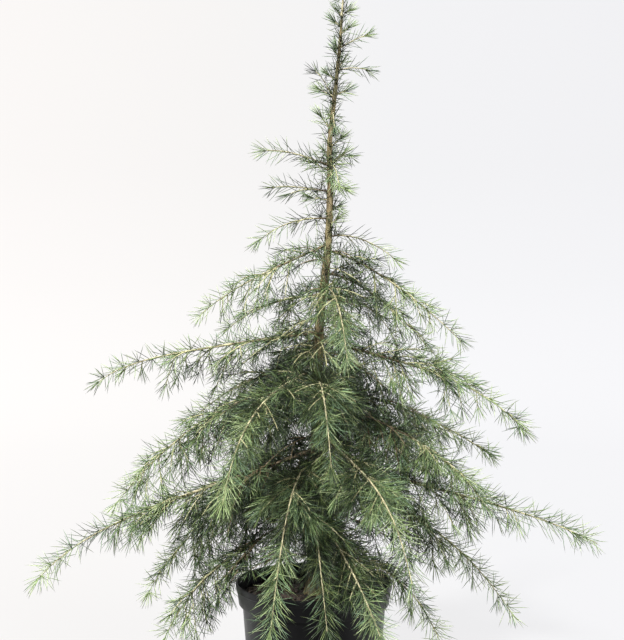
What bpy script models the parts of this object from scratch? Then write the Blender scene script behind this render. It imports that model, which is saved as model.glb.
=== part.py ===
"""A young deodar cedar in a round nursery pot: pot, compost, leaning trunk, boughs and foliage.

Metres, +Z up, origin at the centre of the pot's underside, +X to the right and +Y away in the
usual front view. Every limb starts on the trunk's axis and follows one formula; a bough is the
bare inner part of a limb, and its foliage is the rest, with side twigs and needles fused on.
"""

import math
import random
from collections import namedtuple

import bmesh
import bpy
import numpy as np
from mathutils import Vector

# Gap kept between pieces that touch.
GAP = 0.0003
UP = np.array((0.0, 0.0, 1.0))

# Pot: a tapered nursery pot with a rim band, a thin wall and drain holes in its flat base.
POT_HEIGHT = 0.190
RIM_RADIUS = 0.110
RIM_FOOT_RADIUS = 0.1055
BAND_HEIGHT = 0.030
SHOULDER_RADIUS = 0.1005
POT_BASE_RADIUS = 0.0875
POT_WALL = 0.0022
POT_FLOOR = 0.0025
POT_STEPS = 36
DRAIN_HOLES = 6
DRAIN_CIRCLE = 0.068
DRAIN_RADIUS = 0.006

# Compost: fills the pot to a little under its rim and falls slightly towards the wall.
COMPOST_LEVEL = 0.172
COMPOST_FALL = 0.003
COMPOST_FLAT_RADIUS = 0.045

# Trunk: height, then sideways and backward shift of its axis.
TRUNK_BENDS = (
    (COMPOST_LEVEL, 0.000, 0.000),
    (0.200, 0.000, 0.000),
    (0.400, 0.004, 0.003),
    (0.554, 0.008, 0.000),
    (0.640, 0.018, -0.002),
    (0.740, 0.023, 0.002),
    (0.800, 0.022, 0.004),
    (0.910, 0.033, 0.000),
    (0.985, 0.039, -0.002),
)
TRUNK_TOP = TRUNK_BENDS[-1][0]
TRUNK_BASE_RADIUS = 0.0105
TRUNK_TOP_RADIUS = 0.0018
FLARE = 0.0055
FLARE_HEIGHT = 0.012
TRUNK_STATIONS = 24
TRUNK_CROWDING = 1.4
TRUNK_SIDES = 10

# Limbs: root height, heading (0 right, 90 back, 180 left, 270 front), reach, drop of the tip,
# lift angle at the root, power of the droop, slowing of the reach and sideways bend.
Limb = namedtuple("Limb", "name height heading reach drop lift power hang bend")
BOUGH_LIMBS = (
    Limb("left_1", 0.664, 178, 0.185, 0.101, -24, 4.5, 0.00, -6),
    Limb("left_2", 0.540, 187, 0.317, 0.073, -9, 6.0, 0.24, -10),
    Limb("left_3", 0.455, 171, 0.294, 0.165, 11, 1.9, 0.00, 3),
    Limb("left_4", 0.375, 192, 0.390, 0.180, -19, 6.0, 0.08, -8),
    Limb("left_5", 0.290, 172, 0.221, 0.197, -35, 3.4, 0.43, 0),
    Limb("right_1", 0.655, 354, 0.186, 0.127, -10, 1.6, 0.00, -2),
    Limb("right_2", 0.529, 354, 0.288, 0.127, -16, 4.3, 0.16, 4),
    Limb("right_3", 0.445, 338, 0.239, 0.134, -23, 2.4, 0.58, -1),
    Limb("right_4", 0.364, 349, 0.387, 0.113, -14, 6.0, 0.07, 4),
    Limb("right_5", 0.335, 15, 0.304, 0.218, -21, 2.4, 0.23, 0),
    Limb("front_1", 0.489, 247, 0.270, 0.149, -11, 3.2, 0.56, -2),
    Limb("front_2", 0.346, 257, 0.246, 0.167, 18, 2.4, 0.10, 0),
    Limb("front_3", 0.281, 294, 0.200, 0.119, -20, 2.0, 0.20, 0),
    Limb("front_4", 0.400, 291, 0.290, 0.148, -14, 5.5, 0.17, 1),
)
TRUNK_LIMBS = (
    Limb("left_back_1", 0.592, 139, 0.195, 0.051, -1, 2.4, 0.00, 0),
    Limb("left_back_2", 0.492, 150, 0.224, 0.092, -3, 2.1, 0.07, 2),
    Limb("right_back_1", 0.622, 31, 0.214, 0.144, 10, 1.5, 0.00, -2),
    Limb("right_back_2", 0.472, 29, 0.285, 0.122, -21, 2.9, 0.36, -7),
    Limb("left_back_3", 0.330, 153, 0.290, 0.195, -10, 2.2, 0.20, 0),
    Limb("right_6", 0.262, 330, 0.180, 0.157, -25, 5.0, 0.10, 18),
    Limb("front_5", 0.450, 270, 0.220, 0.073, 30, 2.2, 0.50, 4),
    Limb("front_6", 0.312, 266, 0.200, 0.138, 5, 2.4, 0.20, 8),
    Limb("front_7", 0.599, 285, 0.163, 0.095, 13, 1.8, 0.00, -5),
)
SHOOTS = (
    Limb("shoot_1", 0.940, 12, 0.042, -0.022, 32, 2.4, 0.00, 0),
    Limb("shoot_2", 0.908, 348, 0.046, 0.002, 18, 2.0, 0.00, 0),
    Limb("shoot_3", 0.866, 140, 0.036, -0.048, 62, 2.4, 0.00, 0),
    Limb("shoot_4", 0.775, 205, 0.102, -0.014, 17, 2.9, 0.05, -1),
    Limb("shoot_5", 0.738, 150, 0.097, -0.012, 12, 3.8, 0.15, 0),
    Limb("shoot_6", 0.700, 190, 0.102, 0.034, 2, 2.3, 0.08, -3),
    Limb("shoot_7", 0.674, 2, 0.096, 0.033, 16, 1.8, 0.00, -2),
    Limb("shoot_8", 0.775, 55, 0.058, -0.020, 36, 2.6, 0.00, 0),
    Limb("shoot_9", 0.770, 280, 0.066, 0.030, 20, 2.0, 0.00, 0),
)
LEADER = Limb("leader", TRUNK_TOP, 20, 0.006, -0.066, 84.8, 2.0, 0.00, 0)

# Back limbs: spread by the golden ratio over the back of the crown, inside its cone.
BACK_LIMBS = 5
BACK_TOP = 0.585
BACK_SPACING = 0.074
BACK_FIRST_HEADING = 42
BACK_SPREAD = 96
GOLDEN = 0.618
CONE_TOP = 0.620
CONE_TOP_REACH = 0.150
CONE_SLOPE = 0.50
BACK_DROP = 0.40
BACK_LIFT = 4
BACK_POWER = 2.6
BACK_HANG = 0.10
BACK_BEND = 4

# Boughs: the bare inner length of a limb and its taper.
BARE_LENGTH = 0.055
LIMB_TIP_RADIUS = 0.0007
LIMB_RADIUS_BASE = 0.0010
LIMB_RADIUS_PER_REACH = 0.0088
COLLAR = 0.35
COLLAR_LENGTH = 0.008
BOUGH_SIDES = 6
BOUGH_STATION = 0.018

# Foliage: stations along a stem, side twigs and needles.
STATION = 0.028
TWIG_LONGEST = 0.105
TWIG_REACH_SHARE = 0.5
TWIG_VARIES = (0.85, 1.10)
TWIG_SHORTEST = 0.030
TWIG_FADE = 1.15
TWIG_ANGLE = 50
TWIG_PITCH = 12
TWIG_DROOP = 0.28
TWIG_ROLLS = (78, 282, 170)
TWIG_ROLL_SPREAD = 16
TWIG_RADIUS = 0.0010
TWIG_STEM_SHARE = 0.6
TWIG_TIP_RADIUS = 0.0005
TWIG_STEP = 0.008
TWIG_CLEAR = 0.010
STEM_TWIST = 24
STEM_PLAIN = 0.6 * STATION
TWIG_PLAIN = 0.3 * STATION
PLACES_BETWEEN = 4
NEEDLE_LENGTH = (0.025, 0.033)
END_NEEDLE = 0.014
NEEDLE_LEAN = (41, 53)
NEEDLE_TRIES = (1.0, 0.75, 0.5)
CAP_FACING = 0.7
SIDE_SHARE = 0.999

# Space: each limb's foliage stays nearer its own axis than any other limb's.
SPACE_SAMPLES = 64
SPACE_MARGIN = 0.0025
TRUNK_CLEAR = 0.003
POT_CLEAR = 0.004
FLOOR_CLEAR = 0.020

# Colours, roughness and metallic value of the sub-parts.
SURFACES = {
    "pot": ((0.014, 0.014, 0.015), 0.42, 0.0),
    "compost": ((0.020, 0.014, 0.010), 0.95, 0.0),
    "trunk": ((0.290, 0.205, 0.110), 0.80, 0.0),
    "bough": ((0.210, 0.135, 0.075), 0.80, 0.0),
    "foliage": ((0.085, 0.150, 0.070), 0.62, 0.0),
}


def clear_scene():
    for thing in list(bpy.data.objects):
        bpy.data.objects.remove(thing, do_unlink=True)


def new_collection(name):
    collection = bpy.data.collections.new(name)
    bpy.context.scene.collection.children.link(collection)
    return collection


def make_material(kind):
    colour, roughness, metallic = SURFACES[kind]
    material = bpy.data.materials.new(kind)
    material.use_nodes = True
    shader = material.node_tree.nodes["Principled BSDF"]
    shader.inputs["Base Color"].default_value = (*colour, 1.0)
    shader.inputs["Roughness"].default_value = roughness
    shader.inputs["Metallic"].default_value = metallic
    return material


def evaluated_mesh(thing):
    bpy.context.view_layer.update()
    return bpy.data.meshes.new_from_object(thing.evaluated_get(bpy.context.evaluated_depsgraph_get()))


def add_part(thing, kind):
    """Links a finished piece into the tree's collection, with its material and parent."""
    thing.data.materials.clear()
    thing.data.materials.append(MATERIALS[kind])
    TREE.objects.link(thing)
    thing.parent = ROOT
    return thing


def shade_round(mesh, angle=50):
    mesh.shade_smooth()
    mesh.set_sharp_from_angle(angle=math.radians(angle))


def boolean(thing, operation, cutter=None, collection=None, use_self=False):
    modifier = thing.modifiers.new(operation.lower(), "BOOLEAN")
    modifier.operation = operation
    modifier.solver = "EXACT"
    modifier.use_self = use_self
    if collection:
        modifier.operand_type = "COLLECTION"
        modifier.collection = collection
    else:
        modifier.object = cutter
    return modifier


def turned(name, profile, steps):
    """A turned solid: the profile of (radius, height) spun once round Z by a Screw modifier."""
    mesh = bpy.data.meshes.new(name)
    edges = [(i, i + 1) for i in range(len(profile) - 1)]
    mesh.from_pydata([(radius, 0.0, height) for radius, height in profile], edges, [])
    thing = bpy.data.objects.new(name, mesh)
    screw = thing.modifiers.new("turn", "SCREW")
    screw.steps = steps
    screw.render_steps = steps
    screw.use_merge_vertices = True
    screw.merge_threshold = 0.0001
    return thing


def tube(name, points, radii, sides, twist=0.0):
    """A closed tapering tube through the points, as a mesh object that sits at its first point."""
    curve = bpy.data.curves.new(name, "CURVE")
    curve.dimensions = "3D"
    curve.bevel_depth = 1.0
    curve.bevel_resolution = (sides - 4) // 2
    curve.use_fill_caps = True
    spline = curve.splines.new("POLY")
    spline.points.add(len(points) - 1)
    for i, (point, radius) in enumerate(zip(points, radii)):
        spline.points[i].co = (*(point - points[0]), 1.0)
        spline.points[i].radius = radius
        spline.points[i].tilt = math.radians(twist * i)
    source = bpy.data.objects.new(name, curve)
    source.location = points[0]
    WORKSHOP.objects.link(source)
    mesh = evaluated_mesh(source)
    caps = bmesh.new()
    caps.from_mesh(mesh)
    bmesh.ops.remove_doubles(caps, verts=caps.verts, dist=0.000001)
    bmesh.ops.recalc_face_normals(caps, faces=caps.faces)
    caps.to_mesh(mesh)
    caps.free()
    thing = bpy.data.objects.new(name, mesh)
    thing.matrix_world = source.matrix_world
    bpy.data.objects.remove(source, do_unlink=True)
    bpy.data.curves.remove(curve)
    mesh.name = name
    thing.name = name
    return thing


def smooth_curve(knots, at):
    """Values read from a smooth curve (Catmull-Rom) through knots of (place, value, value)."""
    places = [knot[0] for knot in knots]
    last = len(knots) - 1
    i = min(max(int(np.searchsorted(places, at)) - 1, 0), last - 1)
    a, b, c, d = (np.array(knots[min(max(j, 0), last)][1:]) for j in range(i - 1, i + 3))
    u = (at - places[i]) / (places[i + 1] - places[i])
    return 0.5 * (2 * b + (c - a) * u + (2 * a - 5 * b + 4 * c - d) * u**2 + (3 * b - a - 3 * c + d) * u**3)


def trunk_axis(height):
    x, y = smooth_curve(TRUNK_BENDS, height)
    return np.array((x, y, height))


def trunk_radius(height):
    share = (height - COMPOST_LEVEL) / (TRUNK_TOP - COMPOST_LEVEL)
    taper = TRUNK_BASE_RADIUS + (TRUNK_TOP_RADIUS - TRUNK_BASE_RADIUS) * share
    return taper + FLARE * math.exp(-(height - COMPOST_LEVEL) / FLARE_HEIGHT)


def limb_point(limb, share):
    """The limb's axis at a share of its run, from 0 on the trunk's axis to 1 at its tip."""
    heading = math.radians(limb.heading + limb.bend * share)
    out = limb.reach * ((1 + limb.hang) * share - limb.hang * share**2)
    climb = math.tan(math.radians(limb.lift)) * limb.reach
    rise = climb * share - (climb + limb.drop) * share**limb.power
    return trunk_axis(limb.height) + np.array((out * math.cos(heading), out * math.sin(heading), rise))


def limb_radius(limb, share):
    if limb is LEADER:
        return TRUNK_TOP_RADIUS + (LIMB_TIP_RADIUS - TRUNK_TOP_RADIUS) * share
    root = LIMB_RADIUS_BASE + LIMB_RADIUS_PER_REACH * limb.reach
    collar = root * COLLAR * math.exp(-limb.reach * share / COLLAR_LENGTH)
    return root + (LIMB_TIP_RADIUS - root) * share + collar


def back_limbs():
    limbs = []
    for i in range(BACK_LIMBS):
        height = BACK_TOP - BACK_SPACING * i
        reach = CONE_TOP_REACH + CONE_SLOPE * (CONE_TOP - height)
        heading = BACK_FIRST_HEADING + BACK_SPREAD * (GOLDEN * i % 1)
        shape = (BACK_DROP * reach, BACK_LIFT, BACK_POWER, BACK_HANG, BACK_BEND)
        limbs.append(Limb(f"back_{i + 1}", height, heading, reach, *shape))
    return tuple(limbs)


def has_room(limb, point):
    """Whether a point is in the limb's own space and clear of trunk, pot and floor."""
    gaps = np.linalg.norm(LIMB_LINES - point, axis=2).min(axis=1)
    own = LIMBS.index(limb)
    others = np.delete(gaps, own)
    off_trunk = (np.linalg.norm(TRUNK_LINE - point, axis=1) - TRUNK_RADII).min()
    over_pot = math.hypot(point[0], point[1]) < RIM_RADIUS + POT_CLEAR
    lowest = POT_HEIGHT + POT_CLEAR if over_pot else FLOOR_CLEAR
    return gaps[own] + SPACE_MARGIN < others.min() and off_trunk > TRUNK_CLEAR and point[2] > lowest


def frame_along(tangent):
    """Sideways and upward unit vectors square to a tangent."""
    side = np.cross(tangent, UP)
    side = side / np.linalg.norm(side)
    return side, np.cross(side, tangent)


def unit(vector):
    return vector / np.linalg.norm(vector)


def twig_points(limb, root, tangent, roll, length):
    """Stations of a side twig that leaves forward, droops, and stops where its space ends."""
    side, above = frame_along(tangent)
    angle = math.radians(TWIG_ANGLE)
    roll = math.radians(roll)
    outward = side * math.sin(roll) + above * math.cos(roll)
    pitch = math.sin(math.radians(TWIG_PITCH))
    heading = unit(tangent * math.cos(angle) + outward * math.sin(angle) - UP * pitch)

    def at(run):
        return root + heading * run - UP * TWIG_DROOP * run**2 / length

    run = TWIG_STEP
    while run < length and has_room(limb, at(run + TWIG_CLEAR)):
        run += TWIG_STEP
    run = min(run, length)
    count = max(2, round(run / STATION))
    return run, [at(run * i / count) for i in range(count + 1)]


def between(points):
    """The stations of a stem with a few more places between each two."""
    return np.concatenate([np.linspace(a, b, PLACES_BETWEEN + 2) for a, b in zip(points, points[1:])])


def nearest_gap(line, point):
    return np.linalg.norm(line - point, axis=1).min()


def grow_needles(thing, points, limb, others, draw, bare_run):
    """Pokes the side faces of a four-sided stem into needles that lean forward, and its end cap
    into a last needle. A needle keeps inside the limb's space and nearer its own stem than the
    others of the mass. Faces within bare_run of the root stay plain."""
    place = np.array(thing.location)
    line = between(points)
    middles = [(a + b) / 2 for a, b in zip(points, points[1:])]
    steps = [unit(b - a) for a, b in zip(points, points[1:])]
    shape = bmesh.new()
    shape.from_mesh(thing.data)
    for face in list(shape.faces):
        centre = np.array(face.calc_center_median()) + place
        along = steps[int(np.linalg.norm(np.array(middles) - centre, axis=1).argmin())]
        facing = float(np.array(face.normal) @ along)
        if facing < -CAP_FACING or np.linalg.norm(centre - points[0]) < bare_run:
            continue
        outward = unit(np.array(face.normal) - along * facing * SIDE_SHARE)
        at_end = facing > CAP_FACING
        lean = 0 if at_end else math.radians(draw.uniform(*NEEDLE_LEAN))
        reach = END_NEEDLE if at_end else draw.uniform(*NEEDLE_LENGTH)
        pointing = along * math.cos(lean) + outward * math.sin(lean)
        for share in NEEDLE_TRIES:
            tip = centre + pointing * reach * share
            crowded = len(others) > 0 and nearest_gap(others, tip) < nearest_gap(line, tip)
            if not crowded and has_room(limb, tip) and has_room(limb, (centre + tip) / 2):
                poked = bmesh.ops.poke(shape, faces=[face])
                poked["verts"][0].co = Vector(tip - place)
                break
    shape.to_mesh(thing.data)
    shape.free()


def keep_largest_shell(mesh):
    """Drops loose scraps and the walls of sealed hollows, which leaves one closed body."""
    shape = bmesh.new()
    shape.from_mesh(mesh)
    waiting = set(shape.verts)
    shells = []
    while waiting:
        shell = [waiting.pop()]
        for vert in shell:
            near = {edge.other_vert(vert) for edge in vert.link_edges} & waiting
            waiting -= near
            shell.extend(near)
        shells.append(shell)
    shells.sort(key=len)
    for shell in shells[:-1]:
        bmesh.ops.delete(shape, geom=shell, context="VERTS")
    shape.to_mesh(mesh)
    shape.free()


def make_pot():
    """The pot: rim band, shoulder, tapering wall and a flat base with drain holes."""
    band_foot = POT_HEIGHT - BAND_HEIGHT
    inner_shoulder = band_foot + POT_WALL
    pot = turned("pot", (
        (0.0, POT_FLOOR),
        (POT_BASE_RADIUS - POT_WALL, POT_FLOOR),
        (SHOULDER_RADIUS - POT_WALL, inner_shoulder),
        (RIM_FOOT_RADIUS - POT_WALL, inner_shoulder),
        (RIM_RADIUS - POT_WALL, POT_HEIGHT),
        (RIM_RADIUS, POT_HEIGHT),
        (RIM_FOOT_RADIUS, band_foot),
        (SHOULDER_RADIUS, band_foot),
        (POT_BASE_RADIUS, 0.0),
        (0.0, 0.0),
    ), POT_STEPS)
    shade_round(pot.data)
    add_part(pot, "pot")
    for i in range(DRAIN_HOLES):
        angle = math.tau * i / DRAIN_HOLES
        bpy.ops.mesh.primitive_cylinder_add(
            vertices=12, radius=DRAIN_RADIUS, depth=4 * POT_FLOOR,
            location=(DRAIN_CIRCLE * math.cos(angle), DRAIN_CIRCLE * math.sin(angle), POT_FLOOR / 2))
        hide_cutter(bpy.context.object, f"drain_hole_{i + 1}")
    boolean(pot, "DIFFERENCE", collection=DRAINS)


def hide_cutter(cutter, name):
    cutter.name = name
    cutter.hide_render = True
    cutter.display_type = "WIRE"
    for collection in cutter.users_collection:
        collection.objects.unlink(cutter)
    DRAINS.objects.link(cutter)


def make_compost():
    """The compost: a plug that follows the pot's inside, 0.3 mm clear of it."""
    floor = POT_FLOOR + GAP
    wall = POT_WALL + GAP
    ledge = POT_HEIGHT - BAND_HEIGHT + wall
    edge_level = COMPOST_LEVEL - COMPOST_FALL
    rim_share = (edge_level - POT_HEIGHT + BAND_HEIGHT) / BAND_HEIGHT
    edge_radius = RIM_FOOT_RADIUS + (RIM_RADIUS - RIM_FOOT_RADIUS) * rim_share - wall
    compost = turned("compost", (
        (0.0, COMPOST_LEVEL),
        (COMPOST_FLAT_RADIUS, COMPOST_LEVEL),
        (edge_radius, edge_level),
        (RIM_FOOT_RADIUS - wall, ledge),
        (SHOULDER_RADIUS - wall, ledge),
        (POT_BASE_RADIUS - wall, floor),
        (0.0, floor),
    ), POT_STEPS)
    shade_round(compost.data)
    add_part(compost, "compost")


def make_trunk():
    """The trunk, and a hidden sleeve a gap wider than it that trims the limbs' roots. Its first
    stretch stands upright, so that the flat cut under it lies level on the compost."""
    foot = COMPOST_LEVEL + GAP
    runs = [(i / TRUNK_STATIONS) ** TRUNK_CROWDING for i in range(TRUNK_STATIONS + 1)]
    heights = [foot + (TRUNK_TOP - foot) * run for run in runs]
    points = [trunk_axis(height) for height in heights]
    points[1][:2] = points[0][:2]
    radii = [trunk_radius(height) for height in heights]
    trunk = tube("trunk", points, radii, TRUNK_SIDES)
    shade_round(trunk.data)
    add_part(trunk, "trunk")
    round_gap = GAP / math.cos(math.pi / TRUNK_SIDES)
    sleeve = tube("trunk_sleeve", points, [radius + round_gap for radius in radii], TRUNK_SIDES)
    sleeve.hide_render = True
    sleeve.display_type = "WIRE"
    WORKSHOP.objects.link(sleeve)
    return sleeve


def bare_share(limb):
    """The share of a limb's run that its bough takes, worked out from its nearly straight inner half."""
    half = np.linalg.norm(limb_point(limb, 0.5) - limb_point(limb, 0))
    return 0.5 * BARE_LENGTH / half


def make_bough(limb, sleeve):
    """The bare inner part of a limb, from the trunk's bark to where its foliage starts."""
    end = bare_share(limb)
    count = round(BARE_LENGTH / BOUGH_STATION)
    shares = [end * i / count for i in range(count + 1)]
    points = [limb_point(limb, share) for share in shares]
    bough = tube(f"bough_{limb.name}", points, [limb_radius(limb, share) for share in shares], BOUGH_SIDES)
    shade_round(bough.data)
    add_part(bough, "bough")
    boolean(bough, "DIFFERENCE", cutter=sleeve)


def stem_stations(limb, start):
    """Shares of a limb's run at its stem's stations, and their points."""
    fine = np.array([limb_point(limb, share) for share in np.linspace(start, 1, SPACE_SAMPLES)])
    length = np.linalg.norm(np.diff(fine, axis=0), axis=1).sum()
    count = max(3, round(length / STATION))
    shares = [start + (1 - start) * i / count for i in range(count + 1)]
    points = [limb_point(limb, share) for share in shares]
    if start > 0:
        points[0] = points[0] + unit(points[1] - points[0]) * GAP
    return shares, points


def side_twigs(limb, shares, points, clear_root, draw):
    """Side twigs of a stem, one at each station in turn round it: root radius and stations."""
    twigs = []
    for i in range(1, len(points) - 1):
        longest = min(TWIG_LONGEST, TWIG_REACH_SHARE * limb.reach)
        wanted = longest * (1 - shares[i]) ** TWIG_FADE * draw.uniform(*TWIG_VARIES)
        roll = TWIG_ROLLS[i % len(TWIG_ROLLS)] + draw.uniform(-TWIG_ROLL_SPREAD, TWIG_ROLL_SPREAD)
        if wanted < TWIG_SHORTEST or np.linalg.norm(points[i] - points[0]) < clear_root:
            continue
        run, line = twig_points(limb, points[i], unit(points[i + 1] - points[i - 1]), roll, wanted)
        if run >= TWIG_SHORTEST:
            twigs.append((min(TWIG_RADIUS, TWIG_STEM_SHARE * limb_radius(limb, shares[i])), line))
    return twigs


def make_foliage(limb, start, sleeve=None):
    """A limb's foliage: its stem from the share start to the tip, side twigs that take turns
    round it, and needles on them all, joined into one body."""
    draw = random.Random(limb.name)
    name = f"foliage_{limb.name}"
    shares, points = stem_stations(limb, start)
    in_trunk = trunk_radius(limb.height) if sleeve else 0.0
    twigs = side_twigs(limb, shares, points, in_trunk + STATION / 2, draw)
    stem = tube(name, points, [limb_radius(limb, share) for share in shares], 4, STEM_TWIST)
    lines = [between(line)[PLACES_BETWEEN:] for thick, line in twigs]
    grow_needles(stem, points, limb, np.concatenate(lines) if lines else (), draw, in_trunk + STEM_PLAIN)
    for i, (thick, line) in enumerate(twigs):
        radii = np.linspace(thick, TWIG_TIP_RADIUS, len(line))
        twig = tube("twig", line, radii, 4, STEM_TWIST)
        others = np.concatenate([between(points), *lines[:i], *lines[i + 1:]])
        grow_needles(twig, line, limb, others, draw, TWIG_PLAIN)
        TWIGS.objects.link(twig)
    WORKSHOP.objects.link(stem)
    boolean(stem, "UNION", collection=TWIGS, use_self=True)
    if sleeve:
        boolean(stem, "DIFFERENCE", cutter=sleeve)
    mesh = evaluated_mesh(stem)
    keep_largest_shell(mesh)
    foliage = bpy.data.objects.new(name, mesh)
    foliage.matrix_world = stem.matrix_world
    for helper in [stem, *TWIGS.objects]:
        bpy.data.objects.remove(helper, do_unlink=True)
    foliage.name = name
    add_part(foliage, "foliage")


clear_scene()
TREE = new_collection("deodar_cedar")
DRAINS = new_collection("drain_holes")
WORKSHOP = new_collection("workshop")
TWIGS = new_collection("twigs")
MATERIALS = {kind: make_material(kind) for kind in SURFACES}
ROOT = bpy.data.objects.new("deodar_cedar_root", None)
TREE.objects.link(ROOT)

BOUGH_LIMBS = BOUGH_LIMBS + back_limbs()
LIMBS = BOUGH_LIMBS + TRUNK_LIMBS + SHOOTS + (LEADER,)
LIMB_SHARES = np.linspace(0, 1, SPACE_SAMPLES)
LIMB_LINES = np.array([[limb_point(limb, share) for share in LIMB_SHARES] for limb in LIMBS])
TRUNK_HEIGHTS = np.linspace(COMPOST_LEVEL, TRUNK_TOP, 2 * SPACE_SAMPLES)
TRUNK_LINE = np.array([trunk_axis(height) for height in TRUNK_HEIGHTS])
TRUNK_RADII = np.array([trunk_radius(height) for height in TRUNK_HEIGHTS])

make_pot()
make_compost()
SLEEVE = make_trunk()
for limb in BOUGH_LIMBS:
    make_bough(limb, SLEEVE)
    make_foliage(limb, bare_share(limb))
for limb in TRUNK_LIMBS + SHOOTS:
    make_foliage(limb, 0.0, SLEEVE)
make_foliage(LEADER, GAP / -LEADER.drop)
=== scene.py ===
"""Dresses the young deodar cedar for a plain studio picture: pot, compost, trunk, boughs, twigs
and needles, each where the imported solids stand. Metres, +Z up, front view along +Y."""

import math
import random
from collections import namedtuple

import bpy
import numpy as np
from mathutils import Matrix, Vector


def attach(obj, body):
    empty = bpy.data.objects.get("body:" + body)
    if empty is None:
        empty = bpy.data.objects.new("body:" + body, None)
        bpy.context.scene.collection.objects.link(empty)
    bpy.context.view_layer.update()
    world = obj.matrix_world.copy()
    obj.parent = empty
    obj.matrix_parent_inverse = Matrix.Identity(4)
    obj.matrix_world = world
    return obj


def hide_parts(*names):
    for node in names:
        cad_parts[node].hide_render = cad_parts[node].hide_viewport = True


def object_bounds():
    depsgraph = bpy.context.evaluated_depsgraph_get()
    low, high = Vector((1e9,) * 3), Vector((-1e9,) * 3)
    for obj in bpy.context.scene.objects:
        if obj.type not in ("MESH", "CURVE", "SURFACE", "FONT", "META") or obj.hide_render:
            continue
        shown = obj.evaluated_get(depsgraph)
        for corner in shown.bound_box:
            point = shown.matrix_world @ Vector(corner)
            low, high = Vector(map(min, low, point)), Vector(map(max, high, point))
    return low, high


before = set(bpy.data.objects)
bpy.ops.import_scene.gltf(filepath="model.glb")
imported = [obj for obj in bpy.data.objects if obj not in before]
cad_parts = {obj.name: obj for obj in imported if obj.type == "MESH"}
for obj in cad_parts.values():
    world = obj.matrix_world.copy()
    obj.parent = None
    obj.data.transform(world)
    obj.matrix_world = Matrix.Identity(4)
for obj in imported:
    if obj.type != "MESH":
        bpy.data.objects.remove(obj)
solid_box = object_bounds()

# Studio: a plain pale floor that curves up into a pale wall, lit by a soft sky that is brighter behind, with
# a broad lamp high at the front left and a weaker one at the right. The glow of floor and wall is graded as
# painted light, brighter and warmer at the left and cooler at the right, and carries a painted contact shadow
# where the pot stands. The camera stands level with the middle of the crown.
# Painted light: the backdrop's glow runs from a brighter, warmer left to a cooler right.
BACKDROP_LIGHT_TONES = (
    (0.00, (0.985, 0.955, 0.938)),
    (0.36, (0.925, 0.908, 0.898)),
    (0.64, (0.884, 0.884, 0.902)),
    (1.00, (0.868, 0.868, 0.892)),
)
BACKDROP_HALF_WIDTH = 1.8
BACKDROP_PROFILE = ((3.2, 0.0), (3.7, 0.07), (4.1, 0.30), (4.4, 0.75), (4.5, 1.4), (4.5, 6.0))
BACKDROP_STEPS = 96
BACKDROP_DIFFUSE = (0.06, 0.06, 0.06, 1.0)
BACKDROP_GLOW = 0.87
# Painted contact shadow: the reach and samples of the occlusion that darkens the backdrop's glow near the
# pot.
CONTACT_SHADE_DISTANCE = 0.10
CONTACT_SHADE_SAMPLES = 8
# The sky's tones as (place, tone): from left to right, from front to back, and from below upwards.
SKY_SIDES = ((0.0, 0.36), (0.3, 0.04), (0.7, 0.04), (1.0, 0.28))
SKY_DEPTH = ((0.0, 0.02), (0.35, 0.08), (0.65, 0.42), (1.0, 0.82))
SKY_HEIGHT = ((0.0, 0.12), (0.5, 0.0), (0.68, 0.26), (1.0, 0.65))
# Each lamp's name, strength, softness and turn.
LAMPS = (("lamp_left", 5.9, 7, (46, 0, -28)), ("lamp_right", 2.3, 25, (58, 0, 40)))
CAMERA_PLACE = (-0.0028, -1.466, 0.557)
CAMERA_LENS = 58.5
CAMERA_SENSOR = 36.0


def grey(value):
    return (value, value, value)


def add_node(owner, kind, **values):
    node = owner.node_tree.nodes.new(kind)
    for socket, value in values.items():
        node.inputs[socket.replace("_", " ")].default_value = value
    return node


def add_ramp(owner, stops):
    """A colour ramp through stops, each a place and a colour."""
    ramp = add_node(owner, "ShaderNodeValToRGB")
    while len(ramp.color_ramp.elements) < len(stops):
        ramp.color_ramp.elements.new(0.5)
    for element, (place, colour) in zip(ramp.color_ramp.elements, stops):
        element.position = place
        element.color = (*colour, 1.0)
    return ramp


def new_material(name, roughness):
    material = bpy.data.materials.new(name)
    material.use_nodes = True
    shader = material.node_tree.nodes["Principled BSDF"]
    shader.inputs["Roughness"].default_value = roughness
    return material, shader, material.node_tree.links.new


scene = bpy.context.scene
scene.view_settings.view_transform = "Standard"
sky = bpy.data.worlds.new("studio_sky")
scene.world = sky
sky.use_nodes = True
sky_link = sky.node_tree.links.new
sky_split = add_node(sky, "ShaderNodeSeparateXYZ")
sky_link(add_node(sky, "ShaderNodeTexCoord").outputs["Generated"], sky_split.inputs["Vector"])
sky_tone = None
for axis, stops in (("X", SKY_SIDES), ("Y", SKY_DEPTH), ("Z", SKY_HEIGHT)):
    sky_range = add_node(sky, "ShaderNodeMapRange", From_Min=-1.0)
    sky_ramp = add_ramp(sky, [(place, grey(tone)) for place, tone in stops])
    sky_link(sky_split.outputs[axis], sky_range.inputs["Value"])
    sky_link(sky_range.outputs["Result"], sky_ramp.inputs["Fac"])
    if sky_tone is None:
        sky_tone = sky_ramp.outputs["Color"]
        continue
    sky_sum = add_node(sky, "ShaderNodeMath")
    sky_sum.operation = "ADD"
    sky_link(sky_tone, sky_sum.inputs[0])
    sky_link(sky_ramp.outputs["Color"], sky_sum.inputs[1])
    sky_tone = sky_sum.outputs["Value"]
sky_link(sky_tone, sky.node_tree.nodes["Background"].inputs["Color"])
for lamp_name, strength, softness, aim in LAMPS:
    bpy.ops.object.light_add(type="SUN", rotation=[math.radians(angle) for angle in aim])
    lamp = bpy.context.object
    lamp.name = lamp_name
    lamp.data.energy = strength
    lamp.data.angle = math.radians(softness)

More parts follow.
